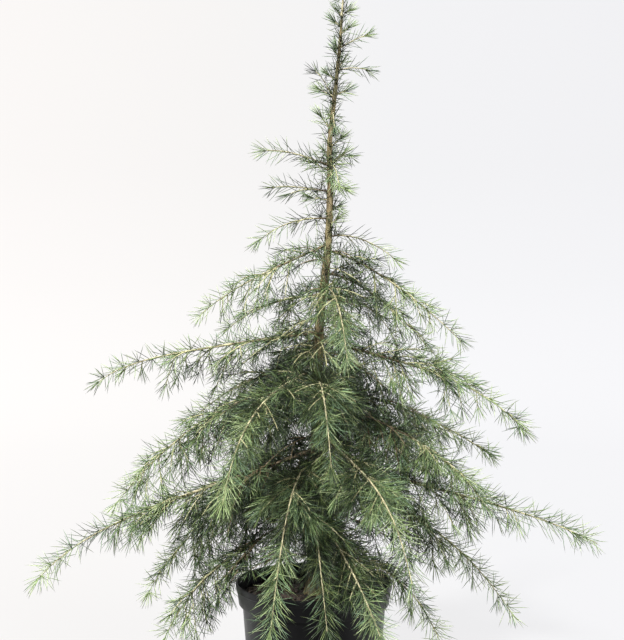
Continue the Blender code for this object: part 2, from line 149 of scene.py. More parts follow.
bpy.ops.object.select_all(action="DESELECT")
bpy.ops.mesh.primitive_circle_add(
    vertices=BACKDROP_STEPS, radius=BACKDROP_PROFILE[0][0], fill_type="NGON", location=(0, 0, 0))
backdrop = bpy.context.object
backdrop.name = "studio_floor"
bpy.ops.object.mode_set(mode="EDIT")
bpy.ops.mesh.select_mode(type="EDGE")
bpy.ops.mesh.select_all(action="SELECT")
bpy.ops.mesh.region_to_loop()
for (radius, height), (next_radius, next_height) in zip(BACKDROP_PROFILE, BACKDROP_PROFILE[1:]):
    bpy.ops.mesh.extrude_region_move(TRANSFORM_OT_translate={"value": (0, 0, next_height - height)})
    wider = next_radius / radius
    bpy.ops.transform.resize(value=(wider, wider, 1))
bpy.ops.mesh.select_mode(type="VERT")
bpy.ops.object.mode_set(mode="OBJECT")
bpy.ops.object.shade_smooth()
for ray in ("visible_diffuse", "visible_glossy", "visible_transmission", "visible_shadow"):
    setattr(backdrop, ray, False)
pale, pale_shader, link = new_material("pale_backdrop", 1.0)
pale_shader.inputs["Base Color"].default_value = BACKDROP_DIFFUSE
pale_shader.inputs["Specular IOR Level"].default_value = 0.0
pale_shader.inputs["Emission Strength"].default_value = BACKDROP_GLOW
# Painted light: the glow's tone is read across the backdrop from left to right.
across = add_node(pale, "ShaderNodeMapRange", From_Min=-BACKDROP_HALF_WIDTH, From_Max=BACKDROP_HALF_WIDTH)
split = add_node(pale, "ShaderNodeSeparateXYZ")
tones = add_ramp(pale, BACKDROP_LIGHT_TONES)
# Painted shadow: ambient occlusion darkens the glow wherever the pot or low needles stand near the floor.
contact_shade = add_node(pale, "ShaderNodeAmbientOcclusion", Distance=CONTACT_SHADE_DISTANCE)
contact_shade.samples = CONTACT_SHADE_SAMPLES
link(add_node(pale, "ShaderNodeTexCoord").outputs["Object"], split.inputs["Vector"])
link(split.outputs["X"], across.inputs["Value"])
link(across.outputs["Result"], tones.inputs["Fac"])
link(tones.outputs["Color"], contact_shade.inputs["Color"])
link(contact_shade.outputs["Color"], pale_shader.inputs["Emission Color"])
backdrop.data.materials.append(pale)

bpy.ops.object.camera_add(location=CAMERA_PLACE, rotation=(math.radians(90), 0, 0))
camera = bpy.context.object
camera.data.lens = CAMERA_LENS
camera.data.sensor_width = CAMERA_SENSOR
scene.camera = camera

# Pot: a black polypropylene nursery pot, injection moulded in one piece, with a rolled lip, a stiffening
# band, a stacking shoulder, a tapered wall and drain holes in its raised floor.
GAP = 0.0003
POT_HEIGHT = 0.190
RIM_RADIUS = 0.110
RIM_FOOT_RADIUS = 0.1055
BAND_HEIGHT = 0.030
SHOULDER_RADIUS = 0.1005
POT_BASE_RADIUS = 0.0875
POT_WALL = 0.0022
POT_FLOOR = 0.0025
POT_STEPS = 120
LIP_HEIGHT = 0.0095
DRAIN_HOLES = 6
DRAIN_CIRCLE = 0.068
DRAIN_RADIUS = 0.006
BAND_FOOT = POT_HEIGHT - BAND_HEIGHT
LIP_FOOT = POT_HEIGHT - LIP_HEIGHT


def band_radius(height):
    return RIM_FOOT_RADIUS + (RIM_RADIUS - RIM_FOOT_RADIUS) * (height - BAND_FOOT) / BAND_HEIGHT


def deselect():
    if bpy.context.object and bpy.context.object.mode != "OBJECT":
        bpy.ops.object.mode_set(mode="OBJECT")
    bpy.ops.object.select_all(action="DESELECT")


def pick(thing):
    """Leaves this thing as the only one selected."""
    deselect()
    bpy.context.view_layer.objects.active = thing
    thing.select_set(True)


def close_up(threshold):
    """Joins the doubled points of the mesh being edited and points its faces outwards."""
    bpy.ops.mesh.select_all(action="SELECT")
    bpy.ops.mesh.remove_doubles(threshold=threshold)
    bpy.ops.mesh.normals_make_consistent(inside=False)
    bpy.ops.object.mode_set(mode="OBJECT")


def turned(name, profile, steps):
    """Draws a profile of (radius, height) point by point and spins it once round the upright axis."""
    deselect()
    bpy.ops.mesh.primitive_plane_add(size=0.01, location=(0, 0, 0))
    thing = bpy.context.object
    thing.name = name
    bpy.ops.object.mode_set(mode="EDIT")
    bpy.ops.mesh.merge(type="CENTER")
    bpy.ops.transform.translate(value=(profile[0][0], 0, profile[0][1]))
    for (radius, height), (next_radius, next_height) in zip(profile, profile[1:]):
        step = (next_radius - radius, 0, next_height - height)
        bpy.ops.mesh.extrude_region_move(TRANSFORM_OT_translate={"value": step})
    bpy.ops.mesh.select_all(action="SELECT")
    bpy.ops.mesh.spin(steps=steps, angle=math.tau, center=(0, 0, 0), axis=(0, 0, 1))
    close_up(0.000002)
    return thing


def apply_last(thing):
    pick(thing)
    bpy.ops.object.modifier_apply(modifier=thing.modifiers[-1].name)


def shade_round(thing, angle):
    pick(thing)
    bpy.ops.object.shade_smooth_by_angle(angle=math.radians(angle))


def finish_piece(piece, name, material, nodes):
    piece.name = name
    piece.data.name = name
    piece.data.materials.clear()
    piece.data.materials.append(material)
    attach(piece, "root")
    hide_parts(*nodes)


def mottle(material, stretch, scale, detail, stops):
    """A noise pattern on Object coordinates, stretched by the mapping, and the ramp that tones it."""
    link = material.node_tree.links.new
    place = add_node(material, "ShaderNodeTexCoord")
    mapping = add_node(material, "ShaderNodeMapping", Scale=stretch)
    noise = add_node(material, "ShaderNodeTexNoise", Scale=scale, Detail=detail, Roughness=0.6)
    ramp = add_ramp(material, stops)
    link(place.outputs["Object"], mapping.inputs["Vector"])
    link(mapping.outputs["Vector"], noise.inputs["Vector"])
    link(noise.outputs["Fac"], ramp.inputs["Fac"])
    return noise, ramp


def add_bump(material, source, strength, depth):
    bump = add_node(material, "ShaderNodeBump", Strength=strength, Distance=depth)
    material.node_tree.links.new(source, bump.inputs["Height"])
    return bump


# The profile runs out under the foot, up the wall, over the lip and down the inside.
pot = turned("pot_shell", (
    (0.0, 0.0012),
    (0.0780, 0.0012),
    (0.0795, 0.0),
    (POT_BASE_RADIUS - 0.0012, 0.0),
    (POT_BASE_RADIUS - 0.0002, 0.0008),
    (POT_BASE_RADIUS + 0.0002, 0.0025),
    (0.0918, 0.0525),
    (0.0962, 0.1060),
    (SHOULDER_RADIUS - 0.0001, BAND_FOOT - 0.0010),
    (SHOULDER_RADIUS + 0.0006, BAND_FOOT),
    (RIM_FOOT_RADIUS - 0.0006, BAND_FOOT),
    (RIM_FOOT_RADIUS + 0.0001, BAND_FOOT + 0.0009),
    (band_radius(LIP_FOOT) - 0.0003, LIP_FOOT - 0.0010),
    (band_radius(LIP_FOOT) + 0.0002, LIP_FOOT - 0.0002),
    (band_radius(LIP_FOOT) + 0.0010, LIP_FOOT + 0.0004),
    (RIM_RADIUS + 0.0004, POT_HEIGHT - 0.0016),
    (RIM_RADIUS + 0.0001, POT_HEIGHT - 0.0004),
    (RIM_RADIUS - 0.0009, POT_HEIGHT),
    (RIM_RADIUS - 0.0019, POT_HEIGHT - 0.0004),
    (RIM_RADIUS - POT_WALL, POT_HEIGHT - 0.0018),
    (RIM_FOOT_RADIUS - POT_WALL, BAND_FOOT + POT_WALL),
    (SHOULDER_RADIUS - POT_WALL, BAND_FOOT + POT_WALL),
    (POT_BASE_RADIUS - POT_WALL, POT_FLOOR),
    (0.0, POT_FLOOR),
), POT_STEPS)
for i in range(DRAIN_HOLES):
    turn = math.tau * i / DRAIN_HOLES
    bpy.ops.mesh.primitive_cylinder_add(
        vertices=24, radius=DRAIN_RADIUS, depth=4 * POT_FLOOR,
        location=(DRAIN_CIRCLE * math.cos(turn), DRAIN_CIRCLE * math.sin(turn), POT_FLOOR / 2))
    drill = bpy.context.object
    hole = pot.modifiers.new("hole", "BOOLEAN")
    hole.operation = "DIFFERENCE"
    hole.object = drill
    apply_last(pot)
    bpy.data.objects.remove(drill, do_unlink=True)
shade_round(pot, 40)

black_plastic, plastic_shader, link = new_material("black_pot_plastic", 0.4)
scuffs = mottle(black_plastic, (1, 1, 0.35), 34, 6, (
    (0.30, (0.0022, 0.0022, 0.0025)), (0.62, (0.0042, 0.0042, 0.0045)), (0.80, (0.0100, 0.0097, 0.0094))))[1]
link(scuffs.outputs["Color"], plastic_shader.inputs["Base Color"])
plastic_shader.inputs["Specular IOR Level"].default_value = 0.35
haze = mottle(black_plastic, (1, 1, 1), 60, 4, ((0.25, grey(0.30)), (0.75, grey(0.47))))[1]
link(haze.outputs["Color"], plastic_shader.inputs["Roughness"])
grain = mottle(black_plastic, (1, 1, 1), 1400, 2, ((0.3, grey(0.0)), (0.7, grey(1.0))))[1]
link(add_bump(black_plastic, grain.outputs["Color"], 0.15, 0.0002).outputs["Normal"],
     plastic_shader.inputs["Normal"])
finish_piece(pot, "nursery_pot", black_plastic, ["pot"])

# Compost: damp bark compost that fills the pot to a little under its lip, settled lower towards
# the wall, with coarse bark chips lying on it.
COMPOST_LEVEL = 0.172
COMPOST_FALL = 0.003
COMPOST_FLAT_RADIUS = 0.045
COMPOST_RINGS = 26
COMPOST_LUMPS = ((0.011, 0.0042), (0.0035, 0.0022))
COMPOST_SETTLED_EDGE = 0.008
COMPOST_TONES = ((0.30, (0.008, 0.006, 0.004)), (0.55, (0.021, 0.015, 0.010)), (0.78, (0.050, 0.034, 0.021)))
CHIPS = 620
CHIP_SEED = 11
CHIP_LENGTHS = (0.004, 0.014)
CHIP_WIDTHS = (0.35, 0.7)
CHIP_THICKNESSES = (0.14, 0.3)
CHIP_WEAR = 0.12
CHIP_TILT = 0.22
CHIP_LIFT = 0.0012
CHIP_TRUNK_CLEAR = 0.020
CHIP_TONES = ((0.32, (0.012, 0.008, 0.005)), (0.55, (0.036, 0.023, 0.014)), (0.75, (0.080, 0.053, 0.032)))
EDGE_LEVEL = COMPOST_LEVEL - COMPOST_FALL
EDGE_RADIUS = band_radius(EDGE_LEVEL) - POT_WALL - GAP


def compost_level(radius):
    fall = (radius - COMPOST_FLAT_RADIUS) / (EDGE_RADIUS - COMPOST_FLAT_RADIUS)
    return COMPOST_LEVEL - COMPOST_FALL * max(0.0, fall)


soil_wall = POT_WALL + GAP
surface_radii = [EDGE_RADIUS * i / COMPOST_RINGS for i in range(COMPOST_RINGS + 1)]
compost = turned("compost_plug", [(radius, compost_level(radius)) for radius in surface_radii] + [
    (RIM_FOOT_RADIUS - soil_wall, BAND_FOOT + soil_wall),
    (SHOULDER_RADIUS - soil_wall, BAND_FOOT + soil_wall),
    (POT_BASE_RADIUS - soil_wall, POT_FLOOR + GAP),
    (0.0, POT_FLOOR + GAP),
], POT_STEPS)
loose = compost.vertex_groups.new(name="loose_top")
for vertex in compost.data.vertices:
    radius = math.hypot(vertex.co.x, vertex.co.y)
    if vertex.co.z > EDGE_LEVEL - GAP and radius < EDGE_RADIUS - GAP:
        loose.add([vertex.index], min(1.0, (EDGE_RADIUS - radius) / COMPOST_SETTLED_EDGE), "REPLACE")
for lump_size, lump_height in COMPOST_LUMPS:
    lumps = bpy.data.textures.new("compost_lumps", "CLOUDS")
    lumps.noise_scale = lump_size
    raised = compost.modifiers.new("lumps", "DISPLACE")
    raised.texture = lumps
    raised.strength = lump_height
    raised.mid_level = 0.5
    raised.direction = "Z"
    raised.vertex_group = "loose_top"
    apply_last(compost)
shade_round(compost, 60)


def rough_finish(name, roughness, scale, detail, stops, bump=None):
    """A matt material in the tones of one noise pattern, which also raises its bump."""
    material, shader, link = new_material(name, roughness)
    noise, ramp = mottle(material, (1, 1, 1), scale, detail, stops)
    link(ramp.outputs["Color"], shader.inputs["Base Color"])
    if bump:
        link(add_bump(material, noise.outputs["Fac"], *bump).outputs["Normal"], shader.inputs["Normal"])
    return material


damp_bark = rough_finish("damp_bark_compost", 0.92, 260, 8, COMPOST_TONES, (0.8, 0.002))
finish_piece(compost, "compost_fill", damp_bark, ["compost"])

CHIP_CORNERS = np.array([(x, y, z) for x in (-1, 1) for y in (-1, 1) for z in (-1, 1)], float) / 2
CHIP_FACES = np.array((
    (0, 1, 3), (0, 3, 2), (4, 6, 7), (4, 7, 5), (0, 4, 5), (0, 5, 1),
    (2, 3, 7), (2, 7, 6), (0, 2, 6), (0, 6, 4), (1, 5, 7), (1, 7, 3)))


def joined_mesh(name, copies, copy_faces):
    """One mesh of many copies: the points of each, and the three-cornered faces that all have."""
    copies = np.asarray(copies)
    points = copies.reshape(-1, 3)
    first_points = copies.shape[1] * np.arange(len(copies))
    faces = (copy_faces + first_points[:, None, None]).reshape(-1, 3)
    mesh = bpy.data.meshes.new(name)
    mesh.vertices.add(len(points))
    mesh.vertices.foreach_set("co", np.ascontiguousarray(points, np.float32).ravel())
    mesh.loops.add(3 * len(faces))
    mesh.loops.foreach_set("vertex_index", np.ascontiguousarray(faces, np.int32).ravel())
    mesh.polygons.add(len(faces))
    mesh.polygons.foreach_set("loop_start", np.arange(0, 3 * len(faces), 3, dtype=np.int32))
    mesh.update(calc_edges=True)
    thing = bpy.data.objects.new(name, mesh)
    scene.collection.objects.link(thing)
    return thing


chance = np.random.default_rng(CHIP_SEED)
chip_points = []
for i in range(CHIPS):
    longest = chance.uniform(*CHIP_LENGTHS)
    size = longest * np.array((1.0, chance.uniform(*CHIP_WIDTHS), chance.uniform(*CHIP_THICKNESSES)))
    corners = (CHIP_CORNERS + chance.uniform(-CHIP_WEAR, CHIP_WEAR, CHIP_CORNERS.shape)) * size
    yaw, tip, roll = chance.uniform(0, math.tau), chance.normal(0, CHIP_TILT), chance.normal(0, CHIP_TILT)
    level = np.array(((1, 0, -tip), (0, 1, roll), (tip, -roll, 1)))
    spun = np.array(((math.cos(yaw), -math.sin(yaw), 0), (math.sin(yaw), math.cos(yaw), 0), (0, 0, 1)))
    radius = math.sqrt(chance.uniform(CHIP_TRUNK_CLEAR**2, (EDGE_RADIUS - 0.6 * longest) ** 2))
    turn = chance.uniform(0, math.tau)
    height = compost_level(radius) + CHIP_LIFT + 0.3 * size[2]
    lie = (radius * math.cos(turn), radius * math.sin(turn), height)
    chip_points.append(corners @ level.T @ spun.T + lie)
chips = joined_mesh("bark_chips", chip_points, CHIP_FACES)
chip_bark = rough_finish("chip_bark", 0.85, 120, 5, CHIP_TONES, (0.5, 0.001))
finish_piece(chips, "bark_chips", chip_bark, ["compost"])

# Trunk: one live stem from its flare in the compost to the tip of the leader, leaning a little
# to the right. Its bark is thin, finely cracked and scarred where old shoots and needles fell.
TRUNK_BENDS = (
    (COMPOST_LEVEL, 0.000, 0.000),
    (0.200, 0.000, 0.000),
    (0.400, 0.004, 0.003),
    (0.554, 0.008, 0.000),
    (0.640, 0.018, -0.002),
    (0.740, 0.023, 0.002),
    (0.800, 0.022, 0.004),
    (0.910, 0.033, 0.000),
    (0.985, 0.039, -0.002),
)
TRUNK_TOP = TRUNK_BENDS[-1][0]
TRUNK_BASE_RADIUS = 0.0105
TRUNK_TOP_RADIUS = 0.0018
FLARE = 0.0055
FLARE_HEIGHT = 0.012
TRUNK_SIDES = 36
TRUNK_RINGS = 150
TRUNK_CROWDING = 1.25
FULL_BARK_RADIUS = 0.006


def smooth_curve(knots, at):
    """Values read from a smooth curve (Catmull-Rom) through knots of (place, value, value)."""
    places = [knot[0] for knot in knots]
    last = len(knots) - 1
    i = min(max(int(np.searchsorted(places, at)) - 1, 0), last - 1)
    a, b, c, d = (np.array(knots[min(max(j, 0), last)][1:]) for j in range(i - 1, i + 3))
    u = (at - places[i]) / (places[i + 1] - places[i])
    return 0.5 * (2 * b + (c - a) * u + (2 * a - 5 * b + 4 * c - d) * u**2 + (3 * b - a - 3 * c + d) * u**3)


def trunk_axis(height):
    x, y = smooth_curve(TRUNK_BENDS, height)
    return np.array((x, y, height))


def trunk_radius(height):
    share = (height - COMPOST_LEVEL) / (TRUNK_TOP - COMPOST_LEVEL)
    taper = TRUNK_BASE_RADIUS + (TRUNK_TOP_RADIUS - TRUNK_BASE_RADIUS) * share
    return taper + FLARE * math.exp(-(height - COMPOST_LEVEL) / FLARE_HEIGHT)


def roughen(thing, kind, size, depth, stretch=None, group=""):
    """Raises a thing's surface by a cloud or cell pattern, drawn out along Z by stretch."""
    pattern = bpy.data.textures.new(kind.lower(), kind)
    pattern.noise_scale = size
    relief = thing.modifiers.new("relief", "DISPLACE")
    relief.texture = pattern
    relief.strength = depth
    relief.mid_level = 0.5
    relief.vertex_group = group
    guide = None
    if stretch:
        guide = bpy.data.objects.new("guide", None)
        scene.collection.objects.link(guide)
        guide.scale = (1, 1, stretch)
        bpy.context.view_layer.update()
        relief.texture_coords = "OBJECT"
        relief.texture_coords_object = guide
    apply_last(thing)
    if guide:
        bpy.data.objects.remove(guide, do_unlink=True)


deselect()
trunk_foot = COMPOST_LEVEL + GAP
trunk_heights = [trunk_foot + (TRUNK_TOP - trunk_foot) * (i / TRUNK_RINGS) ** TRUNK_CROWDING
                 for i in range(TRUNK_RINGS + 1)]
bpy.ops.mesh.primitive_circle_add(
    vertices=TRUNK_SIDES, radius=trunk_radius(trunk_foot), fill_type="NGON", location=trunk_axis(trunk_foot))
trunk = bpy.context.object
bpy.ops.object.transform_apply(location=True, rotation=False, scale=False)
bpy.ops.object.mode_set(mode="EDIT")
for low, high in zip(trunk_heights, trunk_heights[1:]):
    shift = trunk_axis(high) - trunk_axis(low)
    bpy.ops.mesh.extrude_region_move(TRANSFORM_OT_translate={"value": tuple(shift)})
    narrowing = trunk_radius(high) / trunk_radius(low)
    bpy.ops.transform.resize(value=(narrowing, narrowing, 1))
bpy.ops.mesh.select_all(action="SELECT")
bpy.ops.mesh.normals_make_consistent(inside=False)
bpy.ops.object.mode_set(mode="OBJECT")
finer = trunk.modifiers.new("finer", "SUBSURF")
finer.subdivision_type = "SIMPLE"
finer.levels = 1
finer.render_levels = 1
apply_last(trunk)
above_foot = trunk.vertex_groups.new(name="bark")
for vertex in trunk.data.vertices:
    if vertex.co.z > trunk_foot + GAP:
        above_foot.add([vertex.index], min(1.0, trunk_radius(vertex.co.z) / FULL_BARK_RADIUS), "REPLACE")
roughen(trunk, "CLOUDS", 0.0045, 0.0016, 4.0, "bark")
roughen(trunk, "VORONOI", 0.0022, 0.0007, 2.2, "bark")
shade_round(trunk, 60)

trunk_bark, trunk_shader, link = new_material("trunk_bark", 0.8)
streaks, streak_tone = mottle(trunk_bark, (1, 1, 0.22), 210, 8, (
    (0.30, (0.070, 0.055, 0.030)), (0.50, (0.215, 0.172, 0.098)), (0.68, (0.370, 0.300, 0.180))))
patches = mottle(trunk_bark, (1, 1, 0.5), 30, 4, (
    (0.36, (0.42, 0.50, 0.30)), (0.52, (0.92, 0.90, 0.80)), (0.70, (1.0, 0.90, 0.72))))[1]
bark_mix = add_node(trunk_bark, "ShaderNodeMix")
bark_mix.data_type = "RGBA"
bark_mix.blend_type = "MULTIPLY"
bark_mix.inputs[0].default_value = 1.0
link(streak_tone.outputs["Color"], bark_mix.inputs[6])
link(patches.outputs["Color"], bark_mix.inputs[7])
link(bark_mix.outputs[2], trunk_shader.inputs["Base Color"])
bark_bump = add_bump(trunk_bark, streaks.outputs["Fac"], 0.5, 0.0012)
link(bark_bump.outputs["Normal"], trunk_shader.inputs["Normal"])
finish_piece(trunk, "trunk_stem", trunk_bark, ["trunk"])

# Limbs: boughs, side limbs and short shoots of live wood that grow out of the trunk. Their older wood
# has thin brown bark, and this year's wood is smooth and pale. All follow one formula.
# Each has a root height, heading (0 right, 90 back, 180 left, 270 front), reach, drop of the tip, lift
# at the root, power of the droop, slowing of the reach and sideways bend.
Limb = namedtuple("Limb", "name height heading reach drop lift power hang bend")
BOUGH_LIMBS = (
    Limb("left_1", 0.664, 178, 0.185, 0.101, -24, 4.5, 0.00, -6),
    Limb("left_2", 0.540, 187, 0.317, 0.073, -9, 6.0, 0.24, -10),
    Limb("left_3", 0.455, 171, 0.294, 0.165, 11, 1.9, 0.00, 3),
    Limb("left_4", 0.375, 192, 0.390, 0.180, -19, 6.0, 0.08, -8),
    Limb("left_5", 0.290, 172, 0.221, 0.197, -35, 3.4, 0.43, 0),
    Limb("right_1", 0.655, 354, 0.186, 0.127, -10, 1.6, 0.00, -2),
    Limb("right_2", 0.529, 354, 0.288, 0.127, -16, 4.3, 0.16, 4),
    Limb("right_3", 0.445, 338, 0.239, 0.134, -23, 2.4, 0.58, -1),
    Limb("right_4", 0.364, 349, 0.387, 0.113, -14, 6.0, 0.07, 4),
    Limb("right_5", 0.335, 15, 0.304, 0.218, -21, 2.4, 0.23, 0),
    Limb("front_1", 0.489, 247, 0.270, 0.149, -11, 3.2, 0.56, -2),
    Limb("front_2", 0.346, 257, 0.246, 0.167, 18, 2.4, 0.10, 0),
    Limb("front_3", 0.281, 294, 0.200, 0.119, -20, 2.0, 0.20, 0),
    Limb("front_4", 0.400, 291, 0.290, 0.148, -14, 5.5, 0.17, 1),
)
TRUNK_LIMBS = (
    Limb("left_back_1", 0.592, 139, 0.195, 0.051, -1, 2.4, 0.00, 0),
    Limb("left_back_2", 0.492, 150, 0.224, 0.092, -3, 2.1, 0.07, 2),
    Limb("right_back_1", 0.622, 31, 0.214, 0.144, 10, 1.5, 0.00, -2),
    Limb("right_back_2", 0.472, 29, 0.285, 0.122, -21, 2.9, 0.36, -7),
    Limb("left_back_3", 0.330, 153, 0.290, 0.195, -10, 2.2, 0.20, 0),
    Limb("right_6", 0.262, 330, 0.180, 0.157, -25, 5.0, 0.10, 18),
    Limb("front_5", 0.450, 270, 0.220, 0.073, 30, 2.2, 0.50, 4),
    Limb("front_6", 0.312, 266, 0.200, 0.138, 5, 2.4, 0.20, 8),
    Limb("front_7", 0.599, 285, 0.163, 0.095, 13, 1.8, 0.00, -5),
)
SHOOTS = (
    Limb("shoot_1", 0.940, 12, 0.042, -0.022, 32, 2.4, 0.00, 0),
    Limb("shoot_2", 0.908, 348, 0.046, 0.002, 18, 2.0, 0.00, 0),
    Limb("shoot_3", 0.866, 140, 0.036, -0.048, 62, 2.4, 0.00, 0),
    Limb("shoot_4", 0.775, 205, 0.102, -0.014, 17, 2.9, 0.05, -1),
    Limb("shoot_5", 0.738, 150, 0.097, -0.012, 12, 3.8, 0.15, 0),
    Limb("shoot_6", 0.700, 190, 0.102, 0.034, 2, 2.3, 0.08, -3),
    Limb("shoot_7", 0.674, 2, 0.096, 0.033, 16, 1.8, 0.00, -2),
    Limb("shoot_8", 0.775, 55, 0.058, -0.020, 36, 2.6, 0.00, 0),
    Limb("shoot_9", 0.770, 280, 0.066, 0.030, 20, 2.0, 0.00, 0),
)
LEADER = Limb("leader", TRUNK_TOP, 20, 0.006, -0.066, 84.8, 2.0, 0.00, 0)
BACK_LIMBS = 5
BACK_TOP = 0.585
BACK_SPACING = 0.074
BACK_FIRST_HEADING = 42
BACK_SPREAD = 96
GOLDEN = 0.618
CONE_TOP = 0.620
CONE_TOP_REACH = 0.150
CONE_SLOPE = 0.50
BACK_DROP = 0.40
BACK_SHAPE = (4, 2.6, 0.10, 4)
BARE_LENGTH = 0.055
LIMB_TIP_RADIUS = 0.0007
LIMB_RADIUS_BASE = 0.0010
LIMB_RADIUS_PER_REACH = 0.0088
COLLAR = 0.35
STEM_SLIMNESS = 0.66
COLLAR_LENGTH = 0.008
SPACE_SAMPLES = 64
SPACE_MARGIN = 0.0025
TRUNK_CLEAR = 0.003
POT_CLEAR = 0.004
FLOOR_CLEAR = 0.020
BOUGH_STEP = 0.005
BOUGH_SIDES = 10
YOUNG_SIDES = 8
OLD_WOOD_SHARE = (0.30, 0.45)
OLD_SHOOT_SHARE = 0.2
FRONT_OLD_WOOD = 0.4
BOUGH_TONES = ((0.30, (0.062, 0.046, 0.028)), (0.50, (0.160, 0.120, 0.072)), (0.70, (0.280, 0.215, 0.130)))
YOUNG_TONES = ((0.30, (0.290, 0.245, 0.135)), (0.55, (0.450, 0.410, 0.245)), (0.75, (0.580, 0.550, 0.360)))


def limb_point(limb, share):
    """The limb's axis at a share of its run, from 0 on the trunk's axis to 1 at its tip."""
    heading = math.radians(limb.heading + limb.bend * share)
    out = limb.reach * ((1 + limb.hang) * share - limb.hang * share**2)
    climb = math.tan(math.radians(limb.lift)) * limb.reach
    rise = climb * share - (climb + limb.drop) * share**limb.power
    return trunk_axis(limb.height) + np.array((out * math.cos(heading), out * math.sin(heading), rise))


def limb_radius(limb, share):
    if limb is LEADER:
        return TRUNK_TOP_RADIUS + (LIMB_TIP_RADIUS - TRUNK_TOP_RADIUS) * share
    root = LIMB_RADIUS_BASE + LIMB_RADIUS_PER_REACH * limb.reach
    collar = root * COLLAR * math.exp(-limb.reach * share / COLLAR_LENGTH)
    return STEM_SLIMNESS * (root + (LIMB_TIP_RADIUS - root) * share + collar)


def back_limb(i):
    height = BACK_TOP - BACK_SPACING * i
    reach = CONE_TOP_REACH + CONE_SLOPE * (CONE_TOP - height)
    heading = BACK_FIRST_HEADING + BACK_SPREAD * (GOLDEN * i % 1)
    return Limb(f"back_{i + 1}", height, heading, reach, BACK_DROP * reach, *BACK_SHAPE)


def limb_length(limb, start=0.0):
    fine = np.array([limb_point(limb, share) for share in np.linspace(start, 1, SPACE_SAMPLES)])
    return np.linalg.norm(np.diff(fine, axis=0), axis=1).sum()


def stretch_of(limb, start, end, step):
    """Points and radii of a limb's stem between two shares of its run."""
    count = max(2, round(limb_length(limb) * (end - start) / step))
    shares = np.linspace(start, end, count + 1)
    points = np.array([limb_point(limb, share) for share in shares])
    return points, [limb_radius(limb, share) for share in shares]


def round_stems(name, lines, thicknesses, sides):
    """Closed tapering stems drawn as one bevelled curve and made a mesh."""
    curve = bpy.data.curves.new(name, "CURVE")
    curve.dimensions = "3D"
    curve.bevel_depth = 1.0
    curve.bevel_resolution = (sides - 4) // 2
    curve.use_fill_caps = True
    for line, thickness in zip(lines, thicknesses):
        spline = curve.splines.new("POLY")
        spline.points.add(len(line) - 1)
        weighted = np.column_stack((line, np.ones(len(line))))
        spline.points.foreach_set("co", weighted.astype(np.float32).ravel())
        spline.points.foreach_set("radius", np.array(thickness, np.float32))
    thing = bpy.data.objects.new(name, curve)
    scene.collection.objects.link(thing)
    pick(thing)
    bpy.ops.object.convert(target="MESH")
    bpy.ops.object.mode_set(mode="EDIT")
    close_up(0.000001)
    return thing


BOUGH_LIMBS = BOUGH_LIMBS + tuple(back_limb(i) for i in range(BACK_LIMBS))
LIMBS = BOUGH_LIMBS + TRUNK_LIMBS + SHOOTS + (LEADER,)
SAMPLED_SHARES = np.linspace(0, 1, SPACE_SAMPLES)
LIMB_LINES = np.array([[limb_point(limb, share) for share in SAMPLED_SHARES] for limb in LIMBS])
TRUNK_HEIGHTS = np.linspace(COMPOST_LEVEL, TRUNK_TOP, 2 * SPACE_SAMPLES)
TRUNK_LINE = np.array([trunk_axis(height) for height in TRUNK_HEIGHTS])
TRUNK_RADII = np.array([trunk_radius(height) for height in TRUNK_HEIGHTS])
FOLIAGE = [f"foliage_{limb.name}" for limb in LIMBS]

old_lines, old_radii, young_lines, young_radii = [], [], [], []
old_share = {}
for limb in LIMBS:
    draw = random.Random(f"wood {limb.name}")
    old = 0.0 if limb is LEADER else OLD_SHOOT_SHARE if limb in SHOOTS else draw.uniform(*OLD_WOOD_SHARE)
    if limb.name.startswith("front"):
        old *= FRONT_OLD_WOOD
    old_share[limb.name] = old
    if old:
        line, radii = stretch_of(limb, 0.0, old, BOUGH_STEP)
        old_lines.append(line)
        old_radii.append(radii)
    line, radii = stretch_of(limb, old, 1.0, BOUGH_STEP)
    young_lines.append(line)
    young_radii.append(radii)

boughs = round_stems("boughs", old_lines, old_radii, BOUGH_SIDES)
roughen(boughs, "CLOUDS", 0.0028, 0.0007)
shade_round(boughs, 70)
bough_bark = rough_finish("bough_bark", 0.78, 190, 6, BOUGH_TONES, (0.5, 0.0008))
finish_piece(boughs, "boughs", bough_bark,
             [f"bough_{limb.name}" for limb in BOUGH_LIMBS] + FOLIAGE[:-1])

young = round_stems("young_stems", young_lines, young_radii, YOUNG_SIDES)
shade_round(young, 70)
young_wood = rough_finish("young_wood", 0.7, 150, 4, YOUNG_TONES, (0.3, 0.0004))
finish_piece(young, "young_stems", young_wood, FOLIAGE)

# Twigs: thin live side shoots that stand round each limb and droop, brown near the trunk and pale
# further out. First come those that the solids have, at the same stations, then others between
# them, and finer ones on both sides of each. Every twig keeps to its limb's space.
STATION = 0.028
TWIG_LONGEST = 0.105
TWIG_REACH_SHARE = 0.5
TWIG_VARIES = (0.85, 1.10)
TWIG_SHORTEST = 0.030
TWIG_FADE = 1.15
TWIG_ANGLE = 50
TWIG_PITCH = 12
TWIG_DROOP = 0.28
TWIG_ROLLS = (78, 282, 170)
TWIG_ROLL_SPREAD = 16
TWIG_RADIUS = 0.00095
TWIG_TIP_RADIUS = 0.0005
TWIG_SIDES = 4
TWIG_STEP = 0.008
TWIG_CLEAR = 0.010
LATER_TWIG_RADIUS = 0.85 * TWIG_RADIUS
LATER_STEP = 0.006
SHARED_ROOM = (-0.035, 0.005)
OPEN_HEIGHT = 0.515
BETWEEN_PER_STATION = 4
BETWEEN_PLACES = (0.2, 0.8)
BETWEEN_VARIES = (0.55, 1.05)
BETWEEN_ROLLS = (105, 255, 150, 210, 60, 300, 180)
ALL_ROUND = (100, 260, 150, 40, 0, 320, 200)
BETWEEN_ROLL_SPREAD = 22
BETWEEN_ANGLES = (38, 64)
BETWEEN_SHORTEST = 0.012
BETWEEN_TUFT = (0.008, 0.020)
BETWEEN_DROOP = 0.45
BETWEEN_DROOP_VARIES = (0.3, 1.1)
BETWEEN_END = 0.9
FULL_SHARE = 0.58
OUTER_KEPT = 0.4
